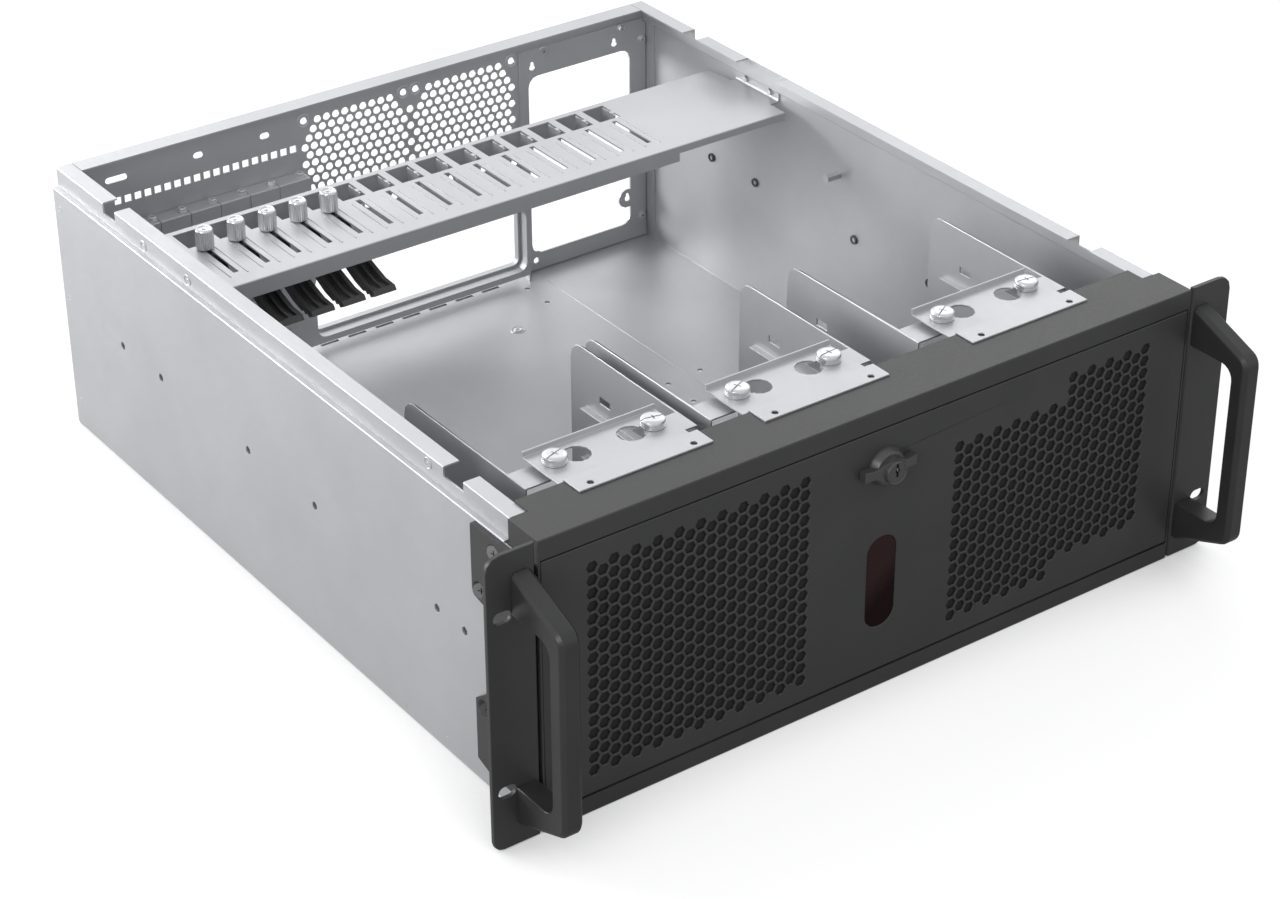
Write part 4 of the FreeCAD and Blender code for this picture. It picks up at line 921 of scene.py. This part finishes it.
lockSettings = {
    "x": 0.5, "z": 137.0,
    # the wings' reach, half height and depth, from the barrel out
    "wings": ((3.0, 6.4, 8.0), (6.2, 5.2, 7.4), (8.2, 3.6, 6.4), (11.0, 2.7, 5.6), (15.0, 2.9, 5.1),
              (17.0, 3.2, 4.9)),
    "wingEdge": 0.5,
    "disc": [(11.0, 0), (11.0, 0.8), (10.6, 1.6), (9.6, 4.4), (9.0, 5.0)],
    "barrel": [(7.4, 0), (7.4, 4.5), (6.9, 7.5), (6.7, 9.2), (6.4, 9.8), (6.0, 10.0), (5.8, 9.8), (5.6, 9.6),
               (5.2, 9.6), (5.0, 9.7)],
    "shaft": [(5.0, -10.2), (5.0, 0.5)],
    # the keyway, a square pocket across it and the shutter plate that glints inside, from the barrel's face
    "keyway": (1.5, 7.6, 8.0), "keywayRise": 1.5,
    "pocket": (2.6, 2.6, 2.4), "pocketAt": (0.3, -0.4, 0), "pocketTurn": 45,
    "shutter": (0.5, 2.0, 1.2), "shutterAt": (0.75, -0.3, -1.4), "shutterTurn": 8, "shutterEdge": 0.15,
}


def makeLockWings():
    ends = lockSettings["wings"]
    span = ends[-1][0]
    bpy.ops.mesh.primitive_cube_add(size=1)
    wings = named("lockWings")
    wings.scale = (mm(2 * span), mm(2), mm(1))
    wings.location = (0, 0, mm(0.5))
    placeApplied(wings)
    for reach, *_ in ends[:-1]:
        for side in (-1, 1):
            openMesh(wings)
            chooseAll()
            bpy.ops.mesh.bisect(plane_co=(mm(side * reach), 0, 0), plane_no=(1, 0, 0))
            closeMesh()
    for reach, halfTall, depth in ends:
        openMesh(wings, "VERT")
        choose(wings, "verts", lambda vertex: abs(abs(vertex.co.x) - mm(reach)) < tiny)
        bpy.ops.transform.resize(value=(1, halfTall, depth), center_override=(0, 0, 0))
        closeMesh()
    eased(wings, lockSettings["wingEdge"], segments=2)
    return wings


def makeLock():
    settings = lockSettings
    knob = turned("lockKnob", 48, settings["disc"])
    cutWith(knob, makeLockWings(), "UNION")
    cutWith(knob, turned("lockBarrel", 48, settings["barrel"]), "UNION")
    cutWith(knob, turned("lockShaft", 32, settings["shaft"]), "UNION")
    centre = Vector((0, settings["keywayRise"], settings["barrel"][-1][1]))
    cutWith(knob, cutBox(settings["keyway"], centre))
    cutWith(knob, cutBox(settings["pocket"], centre + Vector(settings["pocketAt"]), settings["pocketTurn"]))
    place = (settings["x"], 0, settings["z"])
    finished(setAt(knob, place, (90, 0, 0)), "lock", "lock_metal", ["lock_knob"], smooth=30)
    glint = centre + Vector(settings["shutterAt"])
    edge, turn = settings["shutterEdge"], settings["shutterTurn"]
    shutter = easedBox("lockShutter", settings["shutter"], glint, edge, turn)
    finished(setAt(shutter, place, (90, 0, 0)), "lock", "plated_screws", smooth=30)


windowSettings = {
    "x": 0.8, "z": 66.45, "halfAcross": 9.7, "halfTall": 27.65, "corner": 9.1, "recess": 0.5, "sheet": 1.5,
    "flange": 3.0, "flangeDepth": 1.2, "edge": 0.35,
}


def makeWindow():
    # tinted lens with an eased rim, and its flange behind the door
    settings = windowSettings
    sheet = settings["sheet"]
    rows = (("windowLens", 0.0, settings["recess"], sheet),
            ("windowFlange", settings["flange"], sheet, sheet + settings["flangeDepth"]))
    pieces = []
    for name, grow, front, back in rows:
        across, tall, corner = [settings[key] + grow for key in ("halfAcross", "halfTall", "corner")]
        piece = outlineLoop(name, across, tall, corner, (settings["x"], settings["z"]), steps=14)
        openMesh(piece, "EDGE")
        chooseAll()
        bpy.ops.mesh.remove_doubles(threshold=mm(0.005))
        chooseAll()
        bpy.ops.mesh.edge_face_add()
        chooseAll()
        bpy.ops.transform.translate(value=(0, mm(front), 0))
        extrudeBy(0, back - front, 0)
        faceOutward()
        closeMesh()
        pieces.append(piece)
    eased(pieces[0], settings["edge"], segments=2, angle=60)
    finished(joinedPieces(pieces, "indicatorWindow"), "door", "tinted_window", ["door_window"], smooth=40)


makeLock()
makeWindow()
print("lock and window ready")


# Folded and moulded pieces with eased edges

# solid, piece, body, finish, width of the eased edge, smoothing angle
softRows = [
    ("base_tray", "baseTray", "case", "galvanised_steel", 0.3),
    ("hold_down_bar", "holdDownBar", "case", "galvanised_steel", 0.18),
    ("front_frame", "frontFrame", "case", "black_powder_coat", 0.45),
    ("ear_left", "earLeft", "case", "black_powder_coat", 0.35),
    ("ear_right", "earRight", "case", "black_powder_coat", 0.35),
    ("handle_left", "handleLeft", "case", "black_handles", 0.4, 20),
    ("handle_right", "handleRight", "case", "black_handles", 0.4, 20),
]
softRows += [(f"drive_cage_{k}", f"driveCage_{k}", "case", "galvanised_steel", 0.25) for k in (1, 2, 3)]
softRows += [(f"slot_cover_{k}", f"slotCover_{k}", "case", "galvanised_steel", 0.2) for k in range(1, 8)]
softRows += [(f"clamp_{k}", f"clampArm_{k}", f"clamp_{k}", "clamp_plastic", 0.35) for k in range(1, 6)]

supplyPlateSettings = {
    "places": ((121.4, 146.5), (185.4, 146.5), (195.4, 32.5)), "lobe": 1.25, "rise": 2.7,
    "front": 494.0, "rear": 500.0, "edge": 0.2,
}


def makeSupplyPlate():
    # the bolt holes are keyholes: a small lobe above each
    settings = supplyPlateSettings
    depth = settings["rear"] - settings["front"]
    lobes = []
    for x, z in settings["places"]:
        place = (mm(x), mm(settings["front"] + depth / 2), mm(z + settings["rise"]))
        bpy.ops.mesh.primitive_cylinder_add(vertices=20, radius=mm(settings["lobe"]), depth=mm(depth),
                                            rotation=upright, location=place)
        lobe = named("lobe")
        placeApplied(lobe)
        lobes.append(lobe)
    softened("psu_plate", "supplyPlate", "case", "galvanised_steel", settings["edge"], cutters=lobes)


cagePlateSettings = {
    "centres": (-130.8, -18.3, 118.1), "crease": (84.0, 0.25, 0.24), "y": 47.5, "top": 172.0, "edge": 0.25,
}


def makeCagePlates():
    # the joggled plates show a faint scribed bend line on their tabs
    settings = cagePlateSettings
    for k, centre in enumerate(settings["centres"], 1):
        crease = cutBox(settings["crease"], (centre, settings["y"], settings["top"]))
        name = f"cagePlate_{k}"
        softened(f"cage_plate_{k}", name, "case", "galvanised_steel", settings["edge"], cutters=[crease])


for softRow in softRows:
    softened(*softRow)
makeSupplyPlate()
makeCagePlates()
print("soft pieces ready")


# Bar fittings: rear flange and the little flap bent down beside each window

barSettings = {
    "firstX": -172.28, "pitch": 20.32, "count": 15, "low": 149.0, "sheet": 1.0, "edge": 0.18,
    # left and right end, place in depth, thickness and height
    "flange": (-185.0, 124.0, 419.6, 1.0, 13.5), "flangeEdge": 0.2,
    "flap": (1.0, 13.0, 8.5), "flapX": 6.3, "flapY": 408.0, "flapDrop": 0.3,
    "neck": (2.4, 3.0, 1.0), "neckX": 7.0, "neckY": 405.6,
}


def makeBarFittings():
    settings = barSettings
    left, right, middle, sheet, tall = settings["flange"]
    inSheet = settings["low"] + settings["sheet"] / 2
    place = ((left + right) / 2, middle, inSheet - tall / 2)
    flange = easedBox("barFlange", (right - left, sheet, tall), place, settings["flangeEdge"])
    finished(flange, "case", "galvanised_steel")

    flapMiddle = settings["low"] + settings["sheet"] - settings["flap"][2] / 2 - settings["flapDrop"]
    flap = cutBox(settings["flap"], (settings["flapX"], settings["flapY"], flapMiddle))
    neck = cutBox(settings["neck"], (settings["neckX"], settings["neckY"], inSheet))
    cutWith(flap, neck, "UNION")
    eased(flap, settings["edge"])
    rows = [((settings["firstX"] + k * settings["pitch"], 0, 0), (0, 0, 0)) for k in range(settings["count"])]
    finished(copiesAt(flap, rows, "barFlaps"), "case", "galvanised_steel")


# Wall and floor fittings: places along and up the walls, profiles from the wall's face

wallSettings = {
    "inside": 212.1, "outside": 213.1, "channel": 209.6,
    "nuts": ((425.5, 85.5), (379.7, 85.5), (280.7, 85.5), (210.0, 85.5), (90.4, 85.5), (65.0, 85.5)),
    "nut": [(2.95, -0.05), (2.95, 1.1), (2.6, 1.5), (1.75, 1.5), (1.4, 1.2), (1.4, 0.55)],
    "core": [(1.42, -0.02), (1.42, 0.75), (1.2, 0.85)],
    "rings": ((393.3, 162.3), (342.6, 162.5), (98.6, 165.1)),
    "ring": [(3.3, -0.05), (3.25, 0.3), (2.95, 0.45), (2.7, 0.3), (2.6, 0.08), (0.8, 0.08), (0.5, 0.3)],
    "rivets": ((492.0, 146.4), (492.0, 88.1), (492.0, 18.3), (126.8, 6.0), (86.3, 6.8)),
    "rivet": [(1.7, -0.05), (1.65, 0.12), (1.35, 0.2), (1.0, 0.1), (0.5, 0.06)],
}


def onBothWalls(name, slot, sides, profile, places, across, outward):
    # copies to the same places of both side walls, facing outwards or inwards
    rows = []
    for y, z in places:
        for side in (-1, 1):
            rows.append(((side * across, y, z), (0, 90 * side * outward, 0)))
    finished(copiesAt(turned("fitting", sides, profile), rows, name), "case", slot, smooth=30)


def makeWallFittings():
    settings = wallSettings
    inside, outside, channel = settings["inside"], settings["outside"], settings["channel"]
    onBothWalls("pressNuts", "lock_metal", 24, settings["nut"], settings["nuts"], inside, -1)
    onBothWalls("pressNutCores", "plated_screws", 16, settings["core"], settings["nuts"], inside, -1)
    onBothWalls("railRings", "galvanised_steel", 32, settings["ring"], settings["rings"], channel, 1)
    onBothWalls("wallRivets", "galvanised_steel", 20, settings["rivet"], settings["rivets"], outside, 1)


floorFittingSettings = {
    # the crease's place across, its ends, width and height over the floor
    "top": 1.0, "line": (119.0, 120.0, 480.0, 0.7, 0.3), "lineEdge": 0.28,
    "screw": (65.7, 435.9), "screwTurn": 25, "cross": (1.5, 0.6, 0.6),
    "dimple": [(4.9, -0.05), (4.7, 0.25), (4.3, 0.4), (3.9, 0.25), (3.6, 0.05)],
    "head": [(2.9, -0.05), (2.9, 0.35), (2.5, 0.75), (1.5, 0.95)],
}


def makeFloorFittings():
    settings = floorFittingSettings
    x, front, rear, wide, tall = settings["line"]
    top = settings["top"]
    middle = (x, (front + rear) / 2, top)
    line = easedBox("floorLine", (wide, rear - front, 2 * tall), middle, settings["lineEdge"])
    finished(line, "case", "galvanised_steel")
    place = (*settings["screw"], top)
    dimple = turned("floorDimple", 32, settings["dimple"])
    finished(setAt(dimple, place), "case", "galvanised_steel", smooth=30)
    head = turned("floorScrew", 24, settings["head"])
    crossRecess(head, settings["head"][-1][1], *settings["cross"])
    finished(setAt(head, place, (0, 0, settings["screwTurn"])), "case", "plated_screws", smooth=30)


makeBarFittings()
makeWallFittings()
makeFloorFittings()
print("fittings ready")
